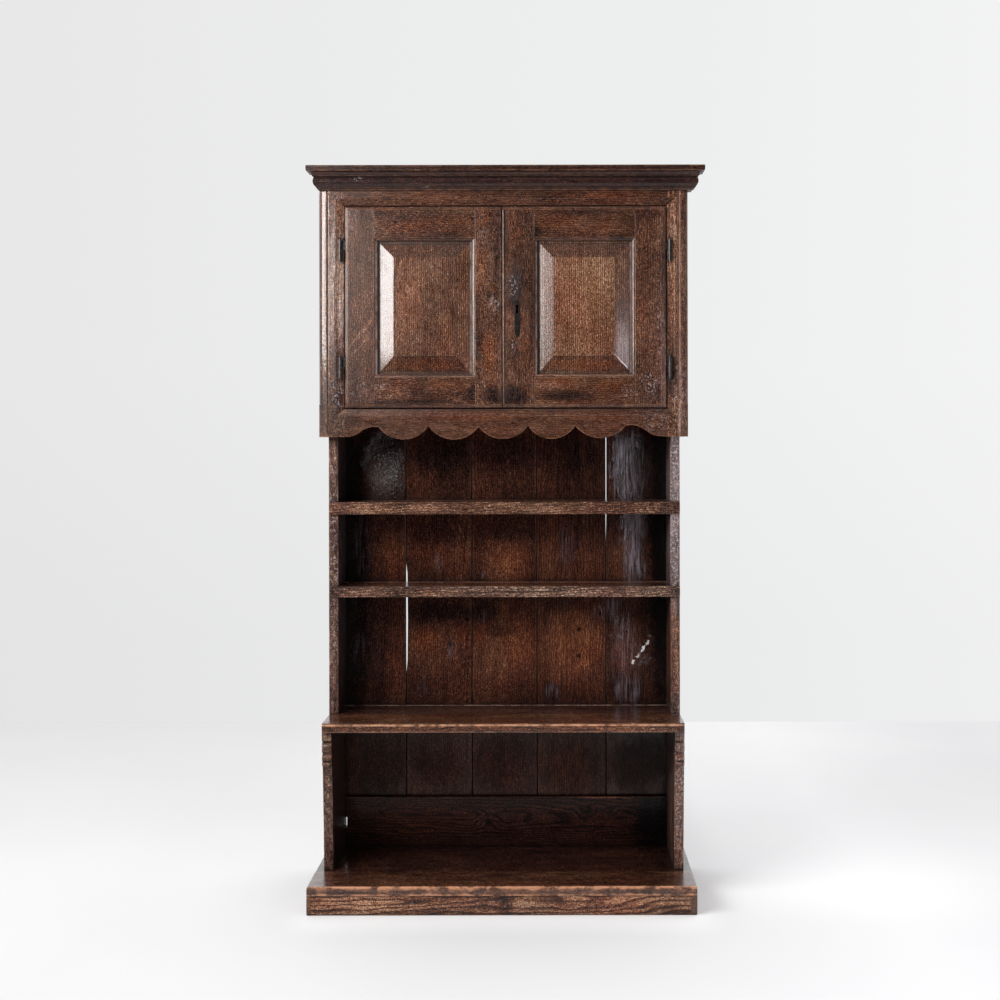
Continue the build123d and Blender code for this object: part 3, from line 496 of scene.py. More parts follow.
RAMP_DULL = [
    (0.00, srgb(20, 13, 10)),
    (0.25, srgb(52, 34, 24)),
    (0.50, srgb(92, 64, 44)),
    (0.75, srgb(130, 96, 68)),
    (1.00, srgb(170, 136, 100)),
]
RAMP_CORNICE = [
    (0.00, srgb(9, 5, 6)),
    (0.25, srgb(26, 15, 14)),
    (0.45, srgb(44, 27, 23)),
    (0.62, srgb(66, 42, 34)),
    (0.80, srgb(98, 66, 50)),
    (1.00, srgb(156, 118, 92)),
]


def oak(
    name,
    axes="ZXY",
    centre=(0, 0, 0),
    seed=1.0,
    d=0.23,
    ramp=RAMP_DOOR,
    tone=0.0,
    contrast=1.0,
    heart=(0.12, 0.07),
    slope=0.02,
    ring=0.0055,
    wander=1.0,
    knots=(),
    wear=1.0,
    wear_width=0.004,
    wear_colour=srgb(158, 110, 78),
    rough=0.27,
    rough_var=0.22,
    spec=0.4,
    coat=0.4,
    coat_rough=0.09,
    plane=0.00030,
    plane_scale=(6.0, 26.0, 26.0),
    relief=1.0,
    grime=1.0,
    stains=(),
    glow=(),
    warm=(),
    dull=(),
    tilts=(),
    ridges=(),
    scratches=(),
    specks=(),
    fleck=1.0,
    speck=1.0,
    figure=1.0,
    dust=0.24,
    deep=0.0,
    sparkle=(),
    late_amount=0.15,
    bevels=None,
    grey=(),
    ao_span=(0.022, 0.30, 0.82),
    seam=(0.0008, 0.35),
    wear_z=None,
    wear_y=None,
    bands=(),
    lines=(),
    sheen=(),
    glints=(),
    leans=(),
    back_y=None,
):
    """A waxed oak material. axes says which object axes run along, across and through the board; centre is the board's
    middle.
    The spots are ovals (px, py, half width, half height, amount), seen in the 1000 x 1000 picture on a face d metres
    deep:
    stains dark, partly real marks and partly painted shade; glow lighter, painted light; warm orange, dull rough,
    ridges fibrous relief, sparkle grainy relief; tilts carry the slopes to x and z as well; specks light dots, painted
    glints; grey a cool lilac cast, painted reflection.
    bevels are painted light and shade: changes of tone on faces that look up, down, left and right. leans (px, py, half
    width, half height, x, z) lean the surface without relief.
    Spots, bands and lines stop at back_y, so the back of a board is plain and dull.
    bands (axis, from, to, amount, colour, largest y) are lines painted along an arris, pale for a highlight and rubbed
    wear, dark for shade; lines (axis, from, to, amount) are dark joints, and painted shade in gaps and under mouldings;
    sheen ovals have pale streaks, painted reflections; glints (px, py, px, py, width in mm, amount) are painted
    highlights."""
    m = bpy.data.materials.new(name)
    m.use_nodes = True
    tr = m.node_tree
    tr.nodes.clear()
    t = Tree(tr)
    out = t.new("ShaderNodeOutputMaterial")
    bsdf = t.new("ShaderNodeBsdfPrincipled")
    tr.links.new(bsdf.outputs[0], out.inputs[0])
    tc = t.new("ShaderNodeTexCoord")
    X, Y, Z = t.split(tc.outputs["Object"])
    rel = t.vmath("SUBTRACT", tc.outputs["Object"], tuple(centre))
    xyz = dict(zip("XYZ", t.split(rel)))
    u, v, w = xyz[axes[0]], xyz[axes[1]], xyz[axes[2]]
    vec = t.xyz(u, v, w)
    edge_noise = t.noise(vec, 42.0, 3.0, 0.62)
    face = None if back_y is None else t.remap(Y, back_y - 0.0005, back_y + 0.0005, 1.0, 0.0)

    def on_face(value):
        return value if face is None else t.math("MULTIPLY", value, face)

    fig = t.new("ShaderNodeGroup")
    fig.node_tree = OAK
    tr.links.new(vec, fig.inputs["Vector"])
    fig.inputs["HeartV"].default_value = heart[0]
    fig.inputs["HeartW"].default_value = heart[1]
    fig.inputs["Slope"].default_value = slope
    fig.inputs["Ring"].default_value = ring
    fig.inputs["Wander"].default_value = wander
    fig.inputs["Seed"].default_value = seed
    late, streak, patch = fig.outputs["Late"], fig.outputs["Streak"], fig.outputs["Patch"]
    blotch, fl, pore = fig.outputs["Blotch"], fig.outputs["Fleck"], fig.outputs["Pore"]
    sp, rd, gr = fig.outputs["Speck"], fig.outputs["Ridge"], fig.outputs["Grain"]

    def oval(px, py, hw, hh):
        x0, z0, k = photo_point(px, py, d)
        du = t.math("DIVIDE", t.math("SUBTRACT", X, x0), hw * k)
        dv = t.math("DIVIDE", t.math("SUBTRACT", Z, z0), hh * k)
        return t.math("SQRT", t.math("ADD", t.math("MULTIPLY", du, du), t.math("MULTIPLY", dv, dv)))

    def spot(px, py, hw, hh, ragged=1.2, source=None):
        r_ = oval(px, py, hw, hh)
        r_ = t.math("ADD", r_, t.math("MULTIPLY", t.math("SUBTRACT", source or edge_noise, 0.5), ragged))
        return on_face(t.math("SUBTRACT", 1.0, t.remap(r_, 0.3, 1.25, smooth=True)))

    warp = knot_dark = None
    for kx, ky, kr in knots:
        _, _, k = photo_point(kx, ky, d)
        long = kr / k / 1000.0
        dist = oval(kx, ky, long if axes[0] == "Z" else long * 1.4, long if axes[0] == "X" else long * 1.4)
        bell = t.math("EXPONENT", t.math("MULTIPLY", t.math("MULTIPLY", dist, dist), -0.16))
        push = t.math("MULTIPLY", bell, kr * 0.0017)
        warp = push if warp is None else t.math("ADD", warp, push)
        dark = t.math("SUBTRACT", 1.0, t.remap(t.math("ADD", dist, t.math("MULTIPLY", edge_noise, 0.6)), 0.6, 1.4, smooth=True))
        knot_dark = dark if knot_dark is None else t.math("MAXIMUM", knot_dark, dark)
    if warp is not None:
        tr.links.new(warp, fig.inputs["Warp"])

    # tone
    k = contrast
    s = t.math("MULTIPLY", t.math("SUBTRACT", streak, 0.5), 0.50 * k * figure)
    s = t.math("ADD", s, t.math("MULTIPLY", t.math("SUBTRACT", patch, 0.5), 0.62 * k))
    s = t.math("ADD", s, t.math("MULTIPLY", t.math("SUBTRACT", blotch, 0.5), 0.36 * k))
    s = t.math("ADD", s, t.math("MULTIPLY", t.math("SUBTRACT", late, 0.55), late_amount * k * figure))
    s = t.math("ADD", s, t.math("MULTIPLY", t.math("SUBTRACT", fl, 0.5), 1.05 * k * fleck))
    s = t.math("ADD", s, t.math("MULTIPLY", t.math("SUBTRACT", sp, 0.5), 1.25 * k * speck))
    s = t.math("ADD", s, 0.475 + tone)
    # painted light and shade: a face's tone is raised or lowered by which way it looks
    if bevels:
        nx_, _, nz_ = t.split(tc.outputs["Normal"])
        for value, amount in ((nz_, bevels[0]), (t.math("MULTIPLY", nz_, -1.0), bevels[1]), (t.math("MULTIPLY", nx_, -1.0), bevels[2]), (nx_, bevels[3])):
            s = t.math("ADD", s, t.math("MULTIPLY", t.remap(value, 0.04, 0.10), amount))
    # darker ovals: partly real marks, partly painted shade, such as the shadow beside the rack's right upright
    for px, py, hw, hh, amount in stains:
        s = t.math("SUBTRACT", s, t.math("MULTIPLY", spot(px, py, hw, hh), amount))
    # lighter ovals: painted light where a lamp falls or is reflected, and a painted highlight along a ledge
    for px, py, hw, hh, amount in glow:
        s = t.math("ADD", s, t.math("MULTIPLY", spot(px, py, hw, hh, 1.5, blotch), amount))
    for x0, y0, x1, y1, width, amount in scratches:
        a, c, kk = photo_point(x0, y0, d)
        b, e, _ = photo_point(x1, y1, d)
        length = math.hypot(b - a, e - c)
        ux, uz = (b - a) / length, (e - c) / length
        qx, qz = t.math("SUBTRACT", X, a), t.math("SUBTRACT", Z, c)
        run = t.math("ADD", t.math("MULTIPLY", qx, ux), t.math("MULTIPLY", qz, uz))
        off = t.math("ADD", t.math("MULTIPLY", qx, -uz), t.math("MULTIPLY", qz, ux))
        off = t.math("ADD", off, t.math("MULTIPLY", t.math("SUBTRACT", edge_noise, 0.5), width * 0.003))
        near = t.math("SUBTRACT", 1.0, t.remap(t.math("ABSOLUTE", off), 0.0, width / 1000.0, smooth=True))
        ends = on_face(t.math("MULTIPLY", t.remap(run, 0.0, length * 0.2), t.remap(run, length * 0.8, length, 1.0, 0.0)))
        s = t.math("ADD", s, t.math("MULTIPLY", t.math("MULTIPLY", near, ends), amount))
    colour = t.ramp(s, ramp)
    # redder and browner areas, and warm ones where the wax has gone
    hue = t.noise(vec, 5.0, 2.0, 0.5)
    colour = t.mix(t.remap(hue, 0.42, 0.66, 0.0, 0.55, smooth=True), colour, t.mix(1.0, colour, (1.12, 0.90, 0.92), "MULTIPLY"))
    for px, py, hw, hh, amount in warm:
        wm = t.math("MULTIPLY", spot(px, py, hw, hh, 1.6, blotch), amount)
        colour = t.mix(wm, colour, t.mix(1.0, colour, (1.75, 1.34, 0.95), "MULTIPLY"))
    # painted reflection: a cool lilac cast where a face mirrors the cool right lamp
    for px, py, hw, hh, amount in grey:
        gm = t.math("MULTIPLY", spot(px, py, hw, hh, 1.6, blotch), amount)
        colour = t.mix(gm, colour, t.mix(1.0, colour, (0.86, 1.06, 1.30), "MULTIPLY"))
    colour = t.mix(t.math("MULTIPLY", pore, 0.70), colour, tuple(c * 0.4 for c in ramp[0][1]))
    # pale lilac specks: painted glints, read also as a dusty bloom
    if dust:
        dst = t.math("MULTIPLY", t.remap(sp, 0.55, 0.72), t.remap(blotch, 0.35, 0.62, 0.25, 1.0))
        colour = t.mix(t.math("MULTIPLY", dst, dust), colour, t.mix(1.0, t.mix(0.5, colour, srgb(118, 96, 92)), (1.8, 1.8, 1.9), "MULTIPLY"))
    if knot_dark is not None:
        colour = t.mix(t.math("MULTIPLY", knot_dark, 0.9), colour, srgb(12, 7, 6))

    # wear on the open arrises
    at = t.new("ShaderNodeAttribute", attribute_name="wear_d")
    wd = t.math("ADD", at.outputs["Fac"], t.math("MULTIPLY", t.math("SUBTRACT", blotch, 0.5), wear_width * 1.7))
    edge = t.math("SUBTRACT", 1.0, t.remap(wd, wear_width * 0.1, wear_width, smooth=True))
    edge = t.math("MULTIPLY", edge, t.remap(t.noise(vec, 30.0, 3.0, 0.65), 0.40, 0.62, 0.08, 1.0))
    if wear_z:
        edge = t.math("MULTIPLY", edge, t.remap(Z, wear_z[0], wear_z[1], 0.12, 1.0))
    if wear_y:
        edge = t.math("MULTIPLY", edge, t.remap(Y, wear_y[0], wear_y[1], 1.0, 0.10))
    edge = t.math("MULTIPLY", edge, 0.75 * wear, clamp=True)
    worn = t.mix(t.remap(fl, 0.3, 0.7), t.mix(1.0, wear_colour, (0.66, 0.60, 0.54), "MULTIPLY"), wear_colour)
    colour = t.mix(edge, colour, worn)
    # painted glints: light lilac dots
    for px, py, hw, hh, amount in specks:
        sk = t.math("MULTIPLY", t.remap(gr, 0.54, 0.66), spot(px, py, hw, hh))
        colour = t.mix(t.math("MULTIPLY", sk, amount), colour, srgb(186, 170, 172))

    # painted shade: darker in corners, recesses and gaps from ambient occlusion, and dark along closed joints
    ao = t.new("ShaderNodeAmbientOcclusion", samples=6)
    ao.inputs["Distance"].default_value = ao_span[0]
    dirt = t.remap(ao.outputs["AO"], ao_span[1], ao_span[2], 1.0, 0.0)
    dirt = t.math("MULTIPLY", dirt, t.remap(edge_noise, 0.3, 0.7, 0.55, 1.0))
    sm = t.new("ShaderNodeAttribute", attribute_name="seam_d")
    joint = t.math("MULTIPLY", t.remap(sm.outputs["Fac"], seam[0] * 0.6, seam[0] * 1.3, 1.0, 0.0), seam[1])
    dirt = t.math("MAXIMUM", dirt, joint)
    colour = t.mix(t.math("MULTIPLY", dirt, 0.85 * grime, clamp=True), colour, srgb(9, 6, 6))

    def strip(axis, lo, hi, soft, limits):
        at_, other = {"X": (X, Z), "Y": (Y, X), "Z": (Z, X)}[axis]
        st = t.math("MULTIPLY", t.remap(at_, lo - soft, lo + soft), t.remap(at_, hi - soft, hi + soft, 1.0, 0.0))
        if limits:
            st = t.math("MULTIPLY", st, t.math("MULTIPLY", t.remap(other, limits[0] - 0.001, limits[0] + 0.001), t.remap(other, limits[1] - 0.001, limits[1] + 0.001, 1.0, 0.0)))
        return on_face(st)

    # dark lines: dark joints, and painted shade in gaps and under mouldings
    for axis, lo, hi, amount, *limits in lines:
        ln = t.math("MULTIPLY", strip(axis, lo, hi, 0.0006, limits), t.remap(edge_noise, 0.3, 0.6, 0.65 * amount, amount))
        colour = t.mix(ln, colour, srgb(9, 6, 6))
        dirt = t.math("MAXIMUM", dirt, ln)
    # painted shade: darker deep in a recess, from wide ambient occlusion
    if deep:
        ao2 = t.new("ShaderNodeAmbientOcclusion", samples=4)
        ao2.inputs["Distance"].default_value = 0.16
        colour = t.mix(t.remap(ao2.outputs["AO"], 0.15, 0.75, deep, 0.0), colour, srgb(8, 6, 6))
    # painted reflections: pale lilac streaks
    for px, py, hw, hh, amount in sheen:
        sh = t.math("MULTIPLY", t.remap(rd, 0.46, 0.64), spot(px, py, hw, hh, 1.5, blotch))
        sh = t.math("MULTIPLY", sh, t.remap(sp, 0.30, 0.62, 0.45, 1.0))
        colour = t.mix(t.math("MULTIPLY", sh, amount), colour, srgb(172, 160, 174))
    # painted highlights: pale strokes along a line
    for x0, y0, x1, y1, width, amount in glints:
        a, c, kk = photo_point(x0, y0, d)
        b, e, _ = photo_point(x1, y1, d)
        length = math.hypot(b - a, e - c)
        ux, uz = (b - a) / length, (e - c) / length
        qx, qz = t.math("SUBTRACT", X, a), t.math("SUBTRACT", Z, c)
        run = t.math("ADD", t.math("MULTIPLY", qx, ux), t.math("MULTIPLY", qz, uz))
        off = t.math("ADD", t.math("MULTIPLY", qx, -uz), t.math("MULTIPLY", qz, ux))
        off = t.math("ADD", off, t.math("MULTIPLY", t.math("SUBTRACT", edge_noise, 0.5), width * 0.0022))
        near = t.math("SUBTRACT", 1.0, t.remap(t.math("ABSOLUTE", off), width * 0.0003, width * 0.001, smooth=True))
        ends = t.math("MULTIPLY", t.remap(run, -0.1 * length, length * 0.15), t.remap(run, length * 0.85, length * 1.1, 1.0, 0.0))
        near = on_face(t.math("MULTIPLY", t.math("MULTIPLY", near, ends), t.remap(rd, 0.36, 0.58, 0.25, 1.0)))
        colour = t.mix(t.math("MULTIPLY", near, amount), colour, srgb(232, 228, 236))
    # lines painted along an arris: pale ones for a highlight and rubbed wear, dark ones for shade
    for axis, lo, hi, amount, tint, y_max, *limits in bands:
        bd = strip(axis, lo, hi, 0.0006, limits)
        bd = t.math("MULTIPLY", bd, t.remap(t.noise(vec, 36.0, 2.0, 0.6), 0.34, 0.60, 0.15, 1.0))
        bd = t.math("MULTIPLY", bd, t.remap(Y, y_max - 0.0006, y_max + 0.0006, 1.0, 0.0))
        colour = t.mix(t.math("MULTIPLY", bd, amount), colour, tint)
    t.put(bsdf.inputs["Base Color"], colour)

    # shine
    r = t.math("ADD", t.math("MULTIPLY", blotch, 0.45), t.math("ADD", t.math("MULTIPLY", fl, 0.25), t.math("MULTIPLY", patch, 0.3)))
    r = t.math("ADD", rough, t.math("MULTIPLY", t.math("SUBTRACT", r, 0.5), rough_var * 2.0))
    r = t.math("ADD", r, t.math("MULTIPLY", pore, 0.12))
    r = t.math("ADD", r, t.math("MULTIPLY", dirt, 0.25))
    for px, py, hw, hh, amount in dull:
        r = t.math("ADD", r, t.math("MULTIPLY", spot(px, py, hw, hh, 1.5, blotch), amount))
    if face is not None:
        r = t.math("ADD", r, t.remap(face, 0.0, 1.0, 0.24, 0.0))
    r = t.math("MAXIMUM", r, 0.09)
    r = t.math("MINIMUM", r, 0.9)
    t.put(bsdf.inputs["Roughness"], r)
    bsdf.inputs["Specular IOR Level"].default_value = spec
    bsdf.inputs["IOR"].default_value = 1.5
    cw = t.math("MULTIPLY", t.remap(blotch, 0.36, 0.60, 1.0, 0.55), coat)
    cw = t.math("MULTIPLY", cw, t.math("SUBTRACT", 1.0, t.math("MULTIPLY", dirt, 0.8)))
    for px, py, hw, hh, amount in dull:
        cw = t.math("MULTIPLY", cw, t.math("SUBTRACT", 1.0, t.math("MULTIPLY", spot(px, py, hw, hh, 1.5, blotch), min(0.9, amount * 4.0)), clamp=True))
    t.put(bsdf.inputs["Coat Weight"], on_face(t.math("MINIMUM", cw, 1.0)) if coat else 0.0)
    bsdf.inputs["Coat Roughness"].default_value = coat_rough
    bsdf.inputs["Coat IOR"].default_value = 1.5

    # relief: hand planing, raised grain, then pores
    pl = t.noise(t.vmath("MULTIPLY", t.vmath("ADD", vec, (seed, seed * 2.0, seed * 3.0)), plane_scale), 1.0, 2.0, 0.5)
    height = t.math("MULTIPLY", pl, plane)
    height = t.math("ADD", height, t.math("MULTIPLY", streak, 0.00018 * relief))
    height = t.math("ADD", height, t.math("MULTIPLY", blotch, 0.00010 * relief))
    for px, py, hw, hh, nx, nz in tilts:
        x0, z0, _ = photo_point(px, py, d)
        mask = spot(px, py, hw, hh, 0.5)
        fall = t.math("ADD", t.math("MULTIPLY", t.math("SUBTRACT", X, x0), -nx), t.math("MULTIPLY", t.math("SUBTRACT", Z, z0), -nz))
        height = t.math("ADD", height, t.math("MULTIPLY", fall, mask))
    for px, py, hw, hh, amount in ridges:
        height = t.math("ADD", height, t.math("MULTIPLY", rd, t.math("MULTIPLY", spot(px, py, hw, hh, 0.9), amount / 1000.0)))
    for px, py, hw, hh, amount in sparkle:
        height = t.math("ADD", height, t.math("MULTIPLY", gr, t.math("MULTIPLY", spot(px, py, hw, hh, 1.6, blotch), amount / 1000.0)))
    if leans:
        push = None
        for px, py, hw, hh, nx, nz in leans:
            one = t.vmath("SCALE", t.xyz(nx, 0.0, nz), scale=spot(px, py, hw, hh, 0.5 if hw > 5.0 else 0.8))
            push = one if push is None else t.vmath("ADD", push, one)
        turn = t.new("ShaderNodeVectorTransform", vector_type="VECTOR", convert_from="OBJECT", convert_to="WORLD")
        t.put(turn.inputs[0], push)
        wide_n = t.bump(height, 1.0, 1.0, t.vmath("NORMALIZE", t.vmath("ADD", t.new("ShaderNodeNewGeometry").outputs["Normal"], turn.outputs[0])))
    else:
        wide_n = t.bump(height, 1.0)
    tiny = t.math("SUBTRACT", t.math("MULTIPLY", fl, 0.00016 * relief), t.math("MULTIPLY", pore, 0.00012 * relief))
    tiny = t.math("ADD", tiny, t.math("MULTIPLY", late, 0.00003 * relief))
    tiny = t.math("ADD", tiny, t.math("MULTIPLY", sp, 0.00010 * relief))
    fine_n = t.bump(tiny, 1.0, 1.0, wide_n)
    t.put(bsdf.inputs["Normal"], fine_n)
    t.put(bsdf.inputs["Coat Normal"], t.bump(tiny, 1.0, 0.35, wide_n))
    return m


RAMP_IRON = [(0.15, srgb(8, 7, 7)), (0.45, srgb(20, 18, 18)), (0.62, srgb(36, 31, 29)), (0.80, srgb(58, 40, 30)), (1.00, srgb(96, 74, 58))]
RAMP_RUBBED = [(0.15, srgb(20, 18, 18)), (0.45, srgb(40, 35, 34)), (0.62, srgb(62, 54, 52)), (0.80, srgb(84, 76, 73)), (1.00, srgb(116, 106, 102))]


def iron(name, seed=1.0, tone=0.0, rough=0.42, ramp=RAMP_IRON, metallic=0.6):
    m = bpy.data.materials.new(name)
    m.use_nodes = True
    tr = m.node_tree
    tr.nodes.clear()
    t = Tree(tr)
    out = t.new("ShaderNodeOutputMaterial")
    bsdf = t.new("ShaderNodeBsdfPrincipled")
    tr.links.new(bsdf.outputs[0], out.inputs[0])
    tc = t.new("ShaderNodeTexCoord")
    vec = t.vmath("ADD", tc.outputs["Object"], (seed, seed * 2, seed * 3))
    a = t.noise(vec, 90.0, 4.0, 0.6)
    b = t.noise(vec, 420.0, 3.0, 0.6)
    s = t.math("ADD", t.math("ADD", t.math("MULTIPLY", a, 0.7), t.math("MULTIPLY", b, 0.4)), tone - 0.05)
    colour = t.ramp(s, ramp)
    t.put(bsdf.inputs["Base Color"], colour)
    bsdf.inputs["Metallic"].default_value = metallic
    t.put(bsdf.inputs["Roughness"], t.math("ADD", rough - 0.1, t.math("MULTIPLY", a, 0.25)))
    bsdf.inputs["Specular IOR Level"].default_value = 0.4
    hgt = t.math("ADD", t.math("MULTIPLY", a, 0.0005), t.math("MULTIPLY", b, 0.0001))
    t.put(bsdf.inputs["Normal"], t.bump(hgt, 1.0, 0.8))
    return m


# ------------------------------------------------------------------ the boards
def mid(name):
    a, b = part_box(name)
    return tuple((a + b) / 2)


def wood(name, axes, seed, piece=None, **look):
    opts = dict(grain=axes[0], seed=int(seed * 10) % 97)
    opts.update(piece or {})
    opts["d"] = look.get("d", 0.23)
    if axes[2] == "Y":
        low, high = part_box(name)
        look.setdefault("back_y", low[1] + 0.72 * (high[1] - low[1]))
    obj = worn_piece(name, **opts)
    mat = oak("oak_" + name, axes=axes, centre=mid(name), seed=seed, **look)
    obj.data.materials.clear()
    obj.data.materials.append(mat)
    return obj


def mould_line(p):
    """The front arris of the bevelled margin round the door opening, and the opening itself."""
    x, z = p.x * 1000.0 + 8.0, p.z * 1000.0
    return -486.0 < x < 500.0 and 1382.0 < z < 2015.0 and z > 1377.0


INNER = dict(ramp=RAMP_DULL, rough=0.55, rough_var=0.15, spec=0.3, coat=0.0, wear=0.25)

# plinth
wood("plinth_top_front", "XYZ", 1.3, dict(step=(0.016, 0.018, 0.009), arris=0.0028, dent=0.0022, wave=0.0006), d=0.05,
     tone=-0.12, wear=2.3, wear_width=0.010, wear_colour=srgb(198, 142, 108), wear_y=(-0.2425, -0.2350), rough=0.22, deep=0.5, heart=(0.05, 0.05), slope=0.03)
wood("plinth_top_rear", "XYZ", 2.1, dict(step=(0.03, 0.03, 0.02), wave=0.0006), d=0.3, tone=-0.10, ramp=RAMP_BACK, rough=0.18, wear=0.5, heart=(0.08, 0.06), deep=0.6)
wood("plinth_front", "XZY", 3.7, dict(step=(0.018, 0.012, 0.012), arris=0.0018, dent=0.0018, wave=0.0006), d=0.0,
     tone=0.08, contrast=1.45, wear=0.7, wear_width=0.004, rough=0.36, heart=(0.015, 0.03), slope=0.05, coat=0.10, wander=2.6, ring=0.012, late_amount=0.27,
     fleck=0.8, speck=0.9, dust=0.12, spec=0.25, warm=((420, 904, 130, 14, 0.30), (610, 904, 90, 14, 0.35)),
     stains=((504, 906, 10, 10, 0.42), (430, 911, 20, 4, 0.15), (600, 905, 14, 4, 0.15), (670, 908, 10, 6, 0.15)),
     glow=((400, 906, 60, 6, 0.08), (640, 902, 40, 5, 0.08)), specks=((500, 906, 190, 10, 0.12),))
wood("plinth_end_left", "YZX", 4.2, dict(step=(0.01, 0.03, 0.012), arris=0.0016), d=0.0, tone=0.0, ramp=RAMP_DULL, rough=0.45, coat=0.1, wear=0.5)
wood("plinth_end_right", "YZX", 5.9, dict(step=(0.01, 0.03, 0.012), arris=0.0016), d=0.0, tone=-0.06, ramp=RAMP_DULL, rough=0.45, coat=0.1, wear=0.5)
wood("plinth_back", "XZY", 6.4, dict(step=(0.04, 0.022, 0.02)), tone=-0.04, **INNER)
wood("plinth_bearers", "YXZ", 7.7, dict(step=(0.022, 0.04, 0.02)), tone=0.0, **INNER)

# sides
SIDE_STEP = dict(step=(0.014, 0.016, 0.014), arris=0.0016, dent=0.0016, wave=0.0005)
wood("side_left", "ZYX", 8.3, SIDE_STEP, d=0.304, ramp=RAMP_GREY, tone=-0.02, wear=0.55, wear_width=0.004, rough=0.36, heart=(0.2, 0.05), slope=0.01, contrast=1.2, deep=0.6, spec=0.25, coat=0.15, bevels=(0.0, 0.0, 0.0, -0.30),
     specks=((333, 560, 10, 150, 0.45),))
wood("side_right", "ZYX", 9.6, SIDE_STEP, d=0.304, ramp=RAMP_GREY, tone=-0.02, wear=0.7, wear_width=0.005, rough=0.34, heart=(-0.22, 0.05), slope=0.012, contrast=1.2, deep=0.6, bevels=(0.0, 0.0, -0.12, 0.0),
     specks=((674, 510, 14, 110, 1.0), (674, 780, 10, 90, 0.5)), glow=((674, 505, 12, 100, 0.14), (674, 800, 12, 80, 0.07)), sheen=((674, 505, 12, 110, 0.40),), tilts=((674, 500, 14, 90, 0.20, 0.0),), sparkle=((674, 500, 14, 100, 2.2),),
     grey=((674, 505, 14, 110, 1.0),),
     warm=((674, 640, 8, 60, 0.6), (674, 800, 10, 70, 0.35)))

# serving shelf and rack shelves
wood("serving_shelf_front", "XYZ", 10.2, dict(step=(0.016, 0.018, 0.009), arris=0.0010, dent=0.0014, wave=0.0006, sharp=12.0), d=0.142,
     tone=-0.04, wear=3.0, wear_width=0.005, wear_colour=srgb(222, 164, 126), wear_z=(0.492, 0.500), wear_y=(-0.0995, -0.0900), dust=0.12, spec=0.3,
     warm=((440, 729, 90, 6, 0.5), (600, 729, 70, 6, 0.35)), bands=(("Z", 0.4770, 0.4800, 0.35, srgb(150, 118, 104), 1.0), ("Z", 0.4966, 0.5020, 0.68, srgb(222, 166, 128), -0.0985)), rough=0.24, heart=(0.05, 0.05), slope=0.02)
wood("serving_shelf_rear", "XYZ", 11.8, dict(step=(0.03, 0.03, 0.02)), d=0.35, tone=-0.03, ramp=RAMP_BACK, rough=0.24, wear=0.4, deep=0.55,
     grey=((500, 706, 400, 60, 0.9),), bands=(("Y", 0.1960, 0.2120, 0.75, srgb(196, 164, 148), 1.0),))
SHELF = dict(step=(0.03, 0.03, 0.01))
wood("upper_shelf", "XYZ", 12.5, SHELF, d=0.38, tone=0.08, ramp=RAMP_BACK, rough=0.24, wear=0.4, deep=0.2,
     bands=(("Y", 0.1780, 0.2120, 0.8, srgb(176, 134, 116), 1.0),))
wood("lower_shelf", "XYZ", 13.9, SHELF, d=0.38, tone=0.08, ramp=RAMP_BACK, rough=0.24, wear=0.4, deep=0.2,
     bands=(("Y", 0.1780, 0.2120, 0.8, srgb(176, 134, 116), 1.0),))
NOSE = dict(step=(0.009, 0.004, 0.006), arris=0.0008, dent=0.0014, wave=0.0005, dent_len=0.009, sharp=12.0)
wood("upper_shelf_nosing", "XZY", 14.4, NOSE, d=0.296, tone=-0.04, contrast=1.3, wear=0.5, late_amount=0.2, wear_width=0.004, rough=0.32, heart=(0.1, 0.2), ring=0.004,
     glow=((370, 510, 40, 8, 0.12), (420, 509, 30, 8, 0.12)), stains=((345, 510, 12, 10, 0.15), (670, 508, 14, 10, 0.2)))
wood("lower_shelf_nosing", "XZY", 15.6, NOSE, d=0.296, tone=-0.02, contrast=1.4, ramp=RAMP_GREY, late_amount=0.2, wear=0.8, wear_width=0.004, rough=0.34, dust=0.12, heart=(0.12, 0.2), ring=0.004,
     stains=((333, 594, 6, 8, 0.25), (674, 592, 8, 8, 0.2)), warm=((400, 594, 60, 8, 0.3),))

# back boards
BACK = dict(step=(0.02, 0.02, 0.03), wave=0.0007, arris=0.0018, dent=0.0008, shut=0.0008)
BK = dict(d=0.458, ramp=RAMP_BACK, rough=0.19, rough_var=0.12, wear=0.3, spec=0.08, coat_rough=0.08, contrast=0.8, dust=0.25, deep=0.62, speck=0.8, seam=(0.0018, 0.95))
wood("back_board_1", "ZXY", 16.1, BACK, heart=(0.14, 0.05), plane=0.0003, tone=-0.01, coat=0.5,
     tilts=((385, 468, 22, 34, -0.13, 0.12),), sparkle=((386, 470, 26, 38, 2.2), (352, 540, 12, 80, 1.2)), dull=((378, 765, 62, 52, 0.24),), specks=((385, 470, 22, 32, 0.45),),
     stains=((352, 560, 18, 170, 0.26), (375, 450, 40, 26, 0.18), (378, 640, 30, 60, 0.08), (380, 765, 30, 34, 0.10)), sheen=((362, 548, 9, 32, 0.20), (358, 650, 8, 20, 0.12)),
     warm=((392, 560, 10, 30, 0.35), (392, 650, 10, 50, 0.3)),
     glow=((395, 560, 20, 24, 0.06), (392, 650, 20, 50, 0.07)), **BK)
